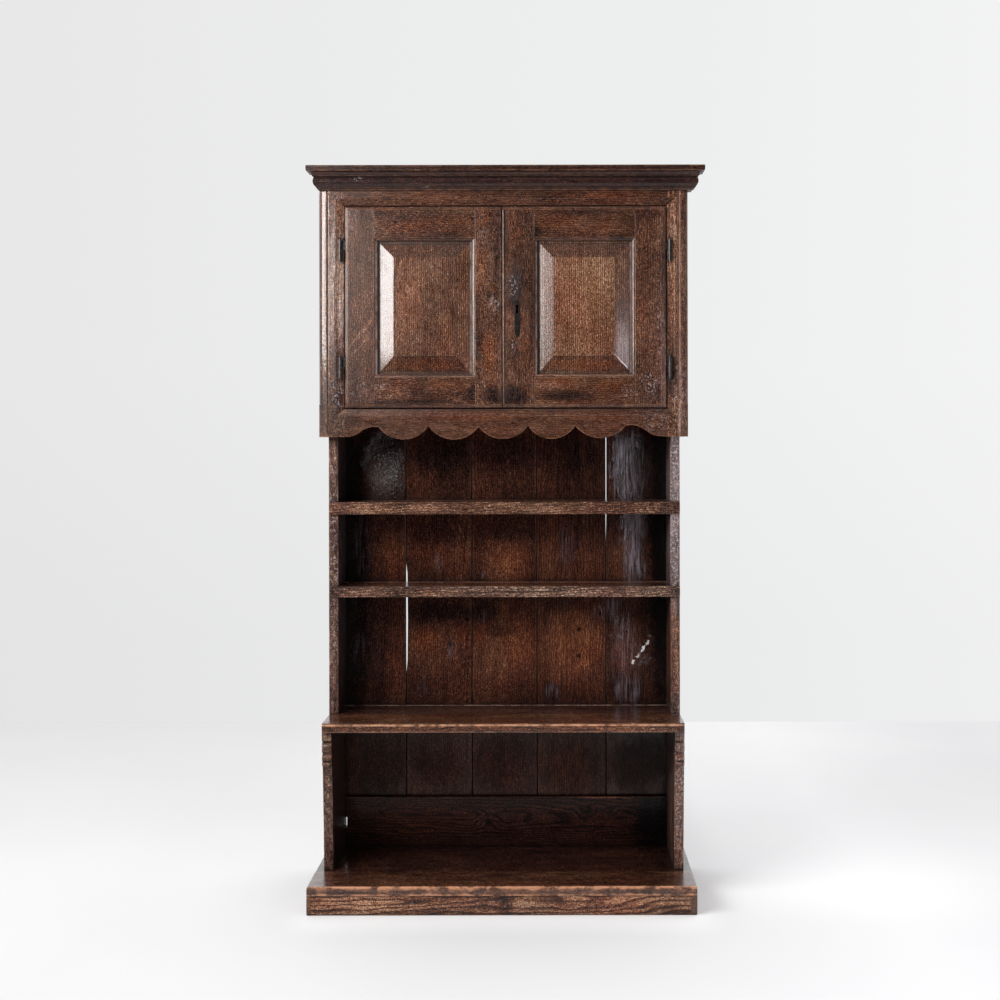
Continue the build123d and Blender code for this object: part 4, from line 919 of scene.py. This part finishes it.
wood("back_board_2", "ZXY", 17.4, BACK, heart=(0.10, 0.05), plane=0.0003, tone=0.01, coat=0.2, glow=((438, 556, 40, 24, 0.06), (436, 650, 40, 30, 0.10)), dull=((436, 765, 40, 34, 0.22),), knots=((450, 645, 9.0), (467, 620, 6.0)),
     stains=((440, 612, 40, 12, 0.20), (438, 450, 34, 26, 0.16), (424, 690, 10, 12, 0.10), (438, 536, 30, 12, 0.08)),
     sheen=((421, 690, 6, 10, 0.20), (452, 650, 5, 14, 0.16), (438, 562, 5, 10, 0.16)),
     warm=((425, 640, 20, 14, 0.7), (462, 635, 12, 12, 0.6), (430, 555, 20, 20, 0.3)),
     scratches=((455, 518, 468, 548, 1.2, 0.3),), ridges=((438, 565, 6, 8, 1.4),), **BK)
wood("back_board_3", "ZXY", 18.8, BACK, heart=(-0.12, 0.05), plane=0.0003, tone=0.02, coat=0.2, glow=((502, 560, 40, 26, 0.15), (504, 650, 40, 40, 0.17)), dull=((502, 765, 40, 34, 0.22),),
     stains=((504, 450, 36, 24, 0.16), (486, 612, 14, 14, 0.12), (500, 632, 18, 6, 0.14), (510, 534, 30, 8, 0.08)),
     sheen=((481, 616, 5, 9, 0.22), (483, 574, 4, 4, 0.30)),
     warm=((480, 632, 8, 14, 0.7), (505, 560, 26, 20, 0.35), (515, 640, 22, 40, 0.35)),
     ridges=((484, 615, 8, 14, 1.3), (480, 470, 6, 20, 1.0)), **BK)
wood("back_board_4", "ZXY", 19.2, BACK, heart=(0.01, 0.04), slope=0.035, ring=0.0065, wander=1.8, plane=0.0003, tone=0.02, coat=0.2, late_amount=0.14, glow=((570, 560, 40, 26, 0.08), (572, 650, 40, 44, 0.19)), dull=((570, 765, 40, 34, 0.22),),
     knots=((579, 630, 8.0), (579, 657, 8.0), (600, 614, 6.0)), figure=1.3,
     stains=((570, 455, 34, 40, 0.16), (553, 693, 10, 12, 0.16), (570, 605, 34, 8, 0.10)),
     sheen=((552, 692, 8, 9, 0.22), (566, 545, 9, 28, 0.14), (598, 611, 6, 7, 0.4)),
     warm=((570, 650, 34, 40, 0.35), (556, 575, 20, 14, 0.2)),
     ridges=((575, 550, 22, 26, 1.0), (598, 612, 9, 8, 1.8), (565, 604, 8, 7, 1.6), (553, 692, 9, 9, 1.4)), **BK)
# back board 5: the dark oval at its right edge is painted shadow beside the rack's right upright; its lilac cast and
# pale streaks are painted reflections
wood("back_board_5", "ZXY", 20.7, dict(BACK, scars=((651, 637, 643, 648, 8.0, 1.0), (643, 647, 631, 667, 11.0, 1.4))), heart=(-0.15, 0.05), plane=0.0002, tone=0.02, wander=1.6, coat=1.1, glow=((624, 650, 20, 40, 0.12), (624, 560, 20, 30, 0.08)), dull=((634, 765, 62, 52, 0.24),), grey=((632, 500, 30, 90, 0.6),),
     stains=((662, 560, 12, 170, 0.55), (636, 470, 30, 40, 0.12), (622, 690, 16, 20, 0.12), (634, 765, 34, 34, 0.12)),
     warm=((618, 650, 10, 26, 0.35), (636, 625, 10, 14, 0.3), (618, 570, 8, 10, 0.3)),
     leans=((629, 465, 24, 54, 0.235, 0.0), (634, 545, 13, 48, 0.235, 0.0), (617, 690, 4.2, 20, 0.18, 0.0), (636, 692, 6, 13, 0.15, 0.0),
            (647.5, 642.5, 3.2, 5, -0.29, 0.23), (642.5, 649, 4.2, 5.5, -0.31, 0.25), (637, 655.5, 4.6, 6, -0.34, 0.27), (632.5, 661.5, 4.0, 6, -0.36, 0.29)),
     lines=(("X", 0.2990, 0.3050, 0.55, 1.13, 1.33),),
     sheen=((628, 466, 18, 44, 0.54), (634, 545, 13, 50, 0.60), (635, 568, 8, 8, 0.5), (626, 650, 18, 34, 0.30), (630, 690, 14, 16, 0.42), (612, 610, 8, 14, 0.32)),
     ridges=((630, 465, 26, 54, 3.2), (632, 545, 16, 46, 3.2), (620, 625, 14, 16, 2.0), (640, 652, 12, 14, 1.6)), **BK)
wood("lower_back_board", "XZY", 21.3, dict(step=(0.03, 0.02, 0.02), wave=0.0008, shut=0.0004), d=0.458, deep=0.5, coat=0.15, contrast=0.75, fleck=0.6, seam=(0.0012, 0.8), ramp=RAMP_BACK, rough=0.20, spec=0.08, heart=(0.02, 0.04), slope=0.03, late_amount=0.3,
     ring=0.007, wear=0.4, wander=1.8, tone=-0.14, knots=((488, 822, 10.0), (585, 812, 8.0), (610, 812, 6.0)),
     stains=((655, 822, 22, 40, 0.45),), warm=((400, 820, 60, 24, 0.3),), ridges=((590, 812, 40, 8, 0.9), (488, 822, 16, 12, 0.8)),
     glow=((612, 797.5, 50, 1.2, 0.4),), speck=0.8)

# cupboard carcass
CSIDE = dict(step=(0.017, 0.03, 0.03))
wood("cupboard_side_left", "ZYX", 22.9, CSIDE, tone=0.0, rough=0.36, heart=(0.2, 0.05))
wood("cupboard_side_right", "ZYX", 23.5, CSIDE, tone=0.0, rough=0.36, heart=(-0.2, 0.05))
wood("cupboard_floor", "XYZ", 24.3, dict(step=(0.04, 0.04, 0.02)), tone=-0.03, **INNER)
wood("cupboard_inner_shelf", "XYZ", 25.1, dict(step=(0.04, 0.04, 0.02)), tone=0.0, **INNER)
wood("inner_shelf_cleats", "YXZ", 26.2, dict(step=(0.04, 0.04, 0.03)), tone=0.0, **INNER)
wood("door_stop_top", "XZY", 27.8, dict(step=(0.04, 0.04, 0.04)), tone=-0.05, **INNER)
wood("top_board", "XYZ", 28.4, dict(step=(0.05, 0.05, 0.05)), tone=0.0, **INNER)

# front frame
STILE = dict(step=(0.006, 0.008, 0.014), arris=0.0011, dent=0.0012, wave=0.0004, plain=mould_line)
# left stile: the narrow dark stain along its outer corner and the dark line beside it are painted shade; the lighter
# lilac margin is a painted reflection of the left lamp
wood("front_stile_left", "ZXY", 29.3, STILE, d=0.231, tone=0.0, wear=0.8, wear_width=0.004, rough=0.34, heart=(0.15, 0.06), contrast=1.2,
     coat=1.5, coat_rough=0.07, relief=0.5, grime=0.35, seam=(0.0008, 0.0),
     tilts=((333, 290, 10, 110, -0.066, 0.0), (341.5, 305, 6, 76, -0.27, 0.0)), dull=((332, 290, 9, 120, 0.17),),
     glow=((338, 285, 7, 84, 0.24),), grey=((338, 290, 8, 100, 0.35),),
     stains=((338, 370, 8, 26, 0.16), (328, 408, 20, 34, 0.24), (320.5, 300, 2.0, 150, 0.12)), specks=((338, 390, 8, 20, 0.5), (338, 290, 8, 90, 0.45)),
     bands=(("X", -0.5206, -0.5183, 0.6, srgb(38, 22, 14), 1.0),))
wood("front_stile_right", "ZXY", 30.6, STILE, d=0.231, tone=0.07, grime=0.35, seam=(0.0008, 0.0), wear=0.9, wear_width=0.005, rough=0.30, heart=(-0.15, 0.06), contrast=1.2,
     dull=((675, 318, 7, 40, 0.1), (686, 320, 6, 190, 0.3)), tilts=((675, 318, 6, 40, -0.05, 0.0),), spec=0.25,
     stains=((672, 375, 6, 24, 0.25), (670, 250, 4, 18, 0.15)), specks=((680, 395, 9, 40, 0.6),), glow=((674, 300, 5, 70, 0.05), (678, 410, 8, 22, 0.12)), warm=((674, 300, 6, 60, 0.22),),
     lines=(("X", 0.4958, 0.4990, 0.30),), bands=(("X", 0.5012, 0.5064, 0.45, srgb(186, 156, 146), 1.0),))
wood("frieze_rail", "XZY", 31.2, dict(step=(0.02, 0.02, 0.012), arris=0.001, plain=mould_line), d=0.231, tone=-0.08, grime=0.4, seam=(0.0008, 0.0), wear=0.5, rough=0.28, heart=(0.12, 0.05),
     warm=((420, 197, 60, 8, 0.35), (600, 196, 60, 8, 0.4)))
# apron: the dark lines along its top are painted shadow under the doors
wood("scalloped_apron", "XZY", 32.4, dict(step=(0.008, 0.015, 0.006), arris=0.0016, dent=0.0016, wave=0.0005, plain=mould_line), d=0.231,
     tone=-0.03, wear=1.0, wear_width=0.004, rough=0.28, heart=(0.14, 0.05), contrast=0.9,
     lines=(("Z", 1.3960, 1.4035, 0.36), ("Z", 1.3900, 1.3960, 0.14)), warm=((480, 415, 60, 7, 0.5), (590, 415, 40, 7, 0.3)), specks=((655, 420, 16, 16, 0.4),), stains=((352, 418, 10, 12, 0.1),))

# doors
DOOR = dict(step=(0.012, 0.014, 0.016), arris=0.0009, dent=0.0009, wave=0.0004, shut=0.00002)
DOORX = dict(step=(0.016, 0.014, 0.012), arris=0.0009, dent=0.0009, wave=0.0004, shut=0.00002)
DR = dict(d=0.229, wear=0.4, contrast=1.05, fleck=0.9)
wood("left_door_hinge_stile", "ZXY", 33.1, DOOR, rough=0.31, heart=(0.15, 0.05), tone=-0.10, coat=0.17, grime=0.6, seam=(0.0008, 0.1),
     lines=(("X", -0.3870, -0.3848, 0.28, 1.505, 1.885), ("X", -0.3812, -0.3790, 0.35, 1.505, 1.885)),
     bands=(("X", -0.3788, -0.3734, 0.55, srgb(176, 156, 150), 1.0, 1.500, 1.892), ("X", -0.3846, -0.3818, 0.2, srgb(176, 156, 150), 1.0, 1.505, 1.885)),
     scratches=((347, 349, 376, 316, 7.0, 0.24), (350, 356, 372, 334, 4.0, 0.16)), dull=((360, 300, 12, 60, 0.08),),
     specks=((352, 220, 8, 14, 0.3), (360, 385, 12, 16, 0.2)), **DR)
wood("left_door_meeting_stile", "ZXY", 34.7, DOOR, rough=0.26, heart=(-0.13, 0.05), tone=0.0,
     lines=(("X", -0.0240, -0.0150, 0.20),), bands=(("X", -0.1010, -0.0985, 0.10, srgb(176, 156, 150), 1.0, 1.500, 1.892),),
     knots=((491, 227.5, 5.0), (490, 295, 8.0)), warm=((489, 352, 7, 28, 0.8), (482, 262, 6, 30, 0.4), (485, 220, 8, 8, 0.4)),
     stains=((497, 260, 4, 40, 0.18), (493, 395, 12, 10, 0.35), (478, 330, 3, 40, 0.12)), specks=((494, 306, 6, 10, 0.7), (482, 240, 8, 16, 0.25)), **DR)
wood("left_door_top_rail", "XZY", 35.2, DOORX, rough=0.27, heart=(0.13, 0.05), tone=-0.02, grime=0.7, seam=(0.0008, 0.45), lines=(("Z", 1.8912, 1.8962, 0.22),),
     knots=((395.6, 221.7, 6.0), (473, 219, 4.0)), warm=((400, 228, 24, 6, 0.7), (440, 222, 40, 8, 0.35)), stains=((360, 214, 30, 6, 0.15), (445, 236, 30, 5, 0.15)), **DR)
wood("left_door_bottom_rail", "XZY", 36.9, DOORX, rough=0.27, heart=(-0.12, 0.05), tone=-0.04,
     lines=(("Z", 1.4982, 1.5008, 0.28), ("Z", 1.4075, 1.4165, 0.22)),
     bands=(("Z", 1.4950, 1.4976, 0.28, srgb(186, 156, 138), 1.0), ("Z", 1.5040, 1.5110, 0.14, srgb(170, 134, 110), 1.0)),
     warm=((448, 384, 24, 8, 0.5), (400, 386, 24, 8, 0.3)), stains=((474, 392, 14, 10, 0.3), (400, 402, 60, 3, 0.2), (418, 392, 12, 8, 0.12)), specks=((378, 385, 8, 8, 0.5),), **DR)
wood("right_door_hinge_stile", "ZXY", 44.1, DOOR, rough=0.30, heart=(0.15, 0.05), tone=-0.01, grime=0.7, seam=(0.0008, 0.40),
     bands=(("X", 0.3625, 0.3646, 0.20, srgb(176, 156, 150), 1.0, 1.500, 1.892), ("X", 0.4485, 0.4530, 0.16, srgb(150, 128, 128), 1.0)),
     stains=((664, 262, 4, 34, 0.22), (655, 392, 10, 12, 0.22), (650, 214, 16, 6, 0.15)), warm=((645, 235, 6, 20, 0.3), (642, 330, 6, 40, 0.2)),
     specks=((654, 384, 12, 14, 0.6), (660, 330, 6, 60, 0.3)), **DR)
wood("right_door_meeting_stile", "ZXY", 45.7, DOOR, rough=0.28, heart=(-0.13, 0.05), tone=0.0,
     lines=(("X", -0.0062, 0.0083, 0.20), ("X", -0.0124, -0.0062, 0.22)), bands=(("X", 0.0868, 0.0905, 0.55, srgb(176, 156, 150), 1.0, 1.500, 1.892),),
     knots=((513.5, 223, 4.0),), stains=((516, 288, 10, 30, 0.32), (514, 350, 8, 14, 0.15), (515, 395, 14, 11, 0.32), (532, 300, 4, 70, 0.15)),
     warm=((518, 235, 8, 18, 0.5), (524, 345, 6, 26, 0.3)), dull=((516, 286, 10, 30, 0.08),), specks=((513, 284, 8, 14, 0.45), (513, 345, 4, 8, 0.5)), **DR)
wood("right_door_top_rail", "XZY", 46.2, DOORX, rough=0.27, heart=(0.13, 0.05), tone=-0.08, grime=0.7, seam=(0.0008, 0.45), lines=(("Z", 1.8931, 1.9010, 0.28),),
     warm=((558, 222, 26, 8, 0.35), (606, 226, 16, 8, 0.25)), stains=((534, 232, 8, 8, 0.25), (585, 212, 50, 4, 0.12), (622, 238, 14, 4, 0.2)), **DR)
wood("right_door_bottom_rail", "XZY", 47.9, DOORX, rough=0.27, heart=(-0.12, 0.05), tone=0.06,
     lines=(("Z", 1.5010, 1.5034, 0.28), ("Z", 1.4075, 1.4165, 0.22)),
     bands=(("Z", 1.4980, 1.5005, 0.24, srgb(190, 156, 134), 1.0), ("Z", 1.5096, 1.5121, 0.50, srgb(190, 150, 124), 1.0)),
     warm=((612, 386, 20, 9, 0.6), (560, 382, 26, 6, 0.4)), stains=((566, 396, 32, 6, 0.32),), specks=((552, 386, 12, 5, 0.35), (629, 392, 8, 10, 0.5)), **DR)
PANEL = dict(step=(0.014, 0.02, 0.014), arris=0.0003, dent=0.0003, wave=0.0002, inset=False, soft=7.0)
PN = dict(d=0.23, rough=0.25, rough_var=0.12, wear=0.1, wear_width=0.002, heart=(0.45, 0.05), ring=0.006, late_amount=0.28, plane=0.00010, wander=0.25, slope=0.0,
          relief=0.8, contrast=0.85, fleck=1.1, ao_span=(0.016, 0.50, 0.97), grime=1.3)
# door panels: the dark lines along their top and left edges are painted shade under the rail and beside the stile; the
# bevel tones by facing, the lighter ovals, the lilac cast, the pale streaks and the pale stroke at the right panel's
# mitre are painted light
wood("left_door_panel", "ZXY", 37.4, PANEL, tone=0.03, coat=1.5, coat_rough=0.07, bevels=(-0.10, -0.11, -0.04, 0.10), lines=(("X", -0.3730, -0.3676, 0.72), ("Z", 1.8822, 1.8895, 0.20), ("Z", 1.8790, 1.8822, 0.50)),
     bands=(("X", -0.1054, -0.1002, 0.50, srgb(176, 156, 150), 1.0, 1.503, 1.888),),
     warm=((410, 300, 12, 40, 0.2), (430, 365, 34, 7, 0.7), (447, 330, 10, 30, 0.2)), **PN)
wood("right_door_panel", "ZXY", 48.4, PANEL, tone=0.18, coat=0.95, coat_rough=0.12, bevels=(-0.22, -0.18, -0.10, -0.08), lines=(("X", 0.0926, 0.0984, 0.72), ("Z", 1.8822, 1.8850, 0.55)),
     bands=(("X", 0.3594, 0.3652, 0.42, srgb(176, 156, 150), 1.0, 1.503, 1.888),),
     warm=((585, 365, 34, 7, 0.7), (580, 305, 34, 60, 0.15)), grey=((622, 345, 9, 26, 0.6),), glow=((621, 342, 8, 26, 0.12),), sheen=((621, 342, 7, 24, 0.25),), glints=((615, 354.5, 628.5, 368.5, 2.2, 0.7),), **PN)

# cornice
COR = dict(step=(0.018, 0.012, 0.01), arris=0.0009, dent=0.0012, wave=0.0004)
wood("cornice_front", "XZY", 50.3, COR, d=0.2, ramp=RAMP_CORNICE, tone=-0.07, rough=0.28, spec=0.25, coat=0.25, dust=0.12, wear=0.5, heart=(0.12, 0.06), grime=1.1, warm=((500, 184, 200, 14, 0.2),), lines=(("Z", 2.0752, 2.0795, 0.50), ("Z", 2.0422, 2.0452, 0.55)),
     stains=((507, 182, 260, 5, 0.08),), specks=((357, 178, 6, 3, 0.6), (427, 187, 5, 2, 0.6)), contrast=0.8)
wood("cornice_left", "YZX", 51.7, dict(step=(0.012, 0.018, 0.01), arris=0.0009), ramp=RAMP_CORNICE, tone=-0.08, rough=0.42, spec=0.12, coat=0.0, wear=0.4)
wood("cornice_right", "YZX", 52.2, dict(step=(0.012, 0.018, 0.01), arris=0.0009), ramp=RAMP_CORNICE, tone=-0.08, rough=0.42, spec=0.12, coat=0.0, wear=0.4)

# pegs keep their CAD shape
for nm, sd in (("frame_pegs", 60.1), ("left_door_pegs", 61.3), ("right_door_pegs", 62.8)):
    o = NODES[nm]
    o.data.materials.clear()
    o.data.materials.append(oak("oak_" + nm, axes="YXZ", centre=mid(nm), seed=sd, tone=-0.10, ring=0.002, heart=(0.0, 0.0), wear=0.0, rough=0.35, fleck=0.6))

# iron
IRON = ("frame_hinge_knuckles", "hinge_pins", "left_door_hinge_knuckles", "right_door_hinge_knuckles", "escutcheon",
        "escutcheon_nails", "lock_case", "lock_bolt", "lock_spring", "slide_bolt", "bolt_staples", "nails")
for i, nm in enumerate(IRON):
    o = NODES[nm]
    o.data.materials.clear()
    if "hinge" in nm:
        o.data.materials.append(iron("iron_" + nm, seed=2.0 + i * 1.7, tone=0.08, rough=0.26, ramp=RAMP_RUBBED, metallic=0.5))
    else:
        o.data.materials.append(iron("iron_" + nm, seed=2.0 + i * 1.7, tone=0.08))
    w_ = o.modifiers.new("weld", "WELD")
    w_.merge_threshold = 0.00003
    b_ = o.modifiers.new("arris", "BEVEL")
    b_.width = 0.0004
    b_.segments = 2
    b_.limit_method = "ANGLE"
    b_.angle_limit = math.radians(35)
    b_.use_clamp_overlap = True
    n_ = o.modifiers.new("weighted", "WEIGHTED_NORMAL")
    o.data.shade_smooth()


# ------------------------------------------------------------------ floor, world and lights
def stage_floor():
    bm = bmesh.new()
    x0, x1, y0, y1 = -14.0, 14.0, -3.0, 2.758
    vs = [bm.verts.new(c) for c in ((x0, y0, 0), (x1, y0, 0), (x1, y1, 0), (x0, y1, 0))]
    bm.faces.new(vs)
    mesh = bpy.data.meshes.new("floor")
    bm.to_mesh(mesh)
    bm.free()
    o = bpy.data.objects.new("floor", mesh)
    scene.collection.objects.link(o)
    m = bpy.data.materials.new("floor_paint")
    m.use_nodes = True
    t = Tree(m.node_tree)
    b = m.node_tree.nodes["Principled BSDF"]
    tc = t.new("ShaderNodeTexCoord")
    n = t.noise(tc.outputs["Object"], 1.3, 4.0, 0.55)
    fx, fy, _ = t.split(tc.outputs["Object"])
    paint = t.ramp(n, [(0.3, (0.69, 0.69, 0.695)), (0.7, (0.71, 0.71, 0.71))])
    # painted light: the floor's colour is darker to the left and lighter to the right and further back, which evens out
    # the lamps; lighter in front of the plinth where its shade would fall; and lighter in the cupboard's shadow to the
    # right
    even = t.math("ADD", t.remap(fx, -1.1, 1.1, 0.90, 1.12), t.remap(fx, 1.1, 1.9, 0.0, -0.09))
    even = t.math("MULTIPLY", even, t.remap(fy, -0.9, 2.2, 0.955, 1.12))
    foot = t.math("MULTIPLY", t.remap(fy, -0.46, -0.27, smooth=True), t.remap(fy, -0.2, 0.2, 1.0, 0.0))
    foot = t.math("MULTIPLY", foot, t.remap(t.math("ABSOLUTE", fx), 0.46, 0.64, 1.0, 0.0, smooth=True))
    even = t.math("MULTIPLY", even, t.math("ADD", t.math("MULTIPLY", foot, 0.17), 1.0))
    beside = t.math("MULTIPLY", t.remap(fx, 0.56, 0.70, smooth=True), t.remap(fx, 1.0, 1.5, 1.0, 0.0, smooth=True))
    beside = t.math("MULTIPLY", beside, t.math("MULTIPLY", t.remap(fy, -0.4, 0.0, smooth=True), t.remap(fy, 0.9, 1.8, 1.0, 0.0, smooth=True)))
    even = t.math("MULTIPLY", even, t.math("ADD", t.math("MULTIPLY", beside, 0.07), 1.0))
    t.put(b.inputs["Base Color"], t.vmath("SCALE", paint, scale=even))
    b.inputs["Roughness"].default_value = 0.8
    b.inputs["Specular IOR Level"].default_value = 0.1
    mesh.materials.append(m)


stage_floor()

world = bpy.data.worlds.new("studio")
scene.world = world
world.use_nodes = True
wt = world.node_tree
wt.nodes.clear()
t = Tree(wt)
wo = t.new("ShaderNodeOutputWorld")
bg = t.new("ShaderNodeBackground")
wt.links.new(bg.outputs[0], wo.inputs[0])
tcw = t.new("ShaderNodeTexCoord")
dx, dy, dz = t.split(tcw.outputs["Generated"])
lp = t.new("ShaderNodeLightPath")
# painted light: the backdrop the camera sees is a little brighter to the right and a little darker low down, as the
# wall is lit
wall = t.ramp(t.remap(dx, -0.35, 0.35), [(0.0, (0.80, 0.80, 0.80)), (0.35, (0.835, 0.84, 0.84)), (0.62, (0.85, 0.855, 0.86)), (1.0, (0.91, 0.91, 0.915))])
low = t.remap(dz, -0.12, 0.05, 0.965, 1.0)
wall = t.vmath("SCALE", wall, scale=low)
# the room as the surfaces see it: pale wall behind, dark room in front, pale ceiling
room = t.remap(dy, -0.3, 0.8, 0.02, 1.1)
room = t.math("ADD", room, t.math("MULTIPLY", t.remap(dz, 0.35, 0.9, smooth=True), 0.95))
rc = t.xyz(room, room, t.math("MULTIPLY", room, 1.01))
n = t.new("ShaderNodeMix", data_type="RGBA")
t.put(n.inputs[0], lp.outputs["Is Camera Ray"])
t.put(n.inputs[6], rc)
t.put(n.inputs[7], wall)
t.put(bg.inputs["Color"], n.outputs[2])
bg.inputs["Strength"].default_value = 1.0


def area(name, corner_a, corner_b, z0, z1, radiance, colour=(1, 1, 1), spread=180):
    """A soft box standing on the line from a to b, facing the cupboard."""
    a, b = Vector((*corner_a, 0)), Vector((*corner_b, 0))
    c = (a + b) / 2
    c.z = (z0 + z1) / 2
    l = bpy.data.lights.new(name, "AREA")
    l.shape = "RECTANGLE"
    l.size = (b - a).length
    l.size_y = z1 - z0
    l.energy = radiance * math.pi * l.size * l.size_y
    l.color = colour
    l.spread = math.radians(spread)
    o = bpy.data.objects.new(name, l)
    o.location = c
    side = (b - a).normalized()
    facing = Vector((-side.y, side.x, 0))
    if facing.dot(-c) < 0:
        facing = -facing
    o.rotation_mode = "QUATERNION"
    o.rotation_quaternion = facing.to_track_quat("-Z", "Y")
    scene.collection.objects.link(o)
    o.visible_camera = False
    return o


area("softbox_left", (-1.21, -2.69), (-2.87, -0.86), 1.69, 2.85, 12.8, (1.0, 0.995, 0.985))
area("softbox_right", (1.62, -2.90), (2.60, -2.35), 0.22, 1.90, 4.0, (0.96, 0.91, 1.0))

scene.view_settings.view_transform = "Standard"
scene.view_settings.look = "None"
scene.view_settings.exposure = 0.0
scene.view_settings.gamma = 1.0
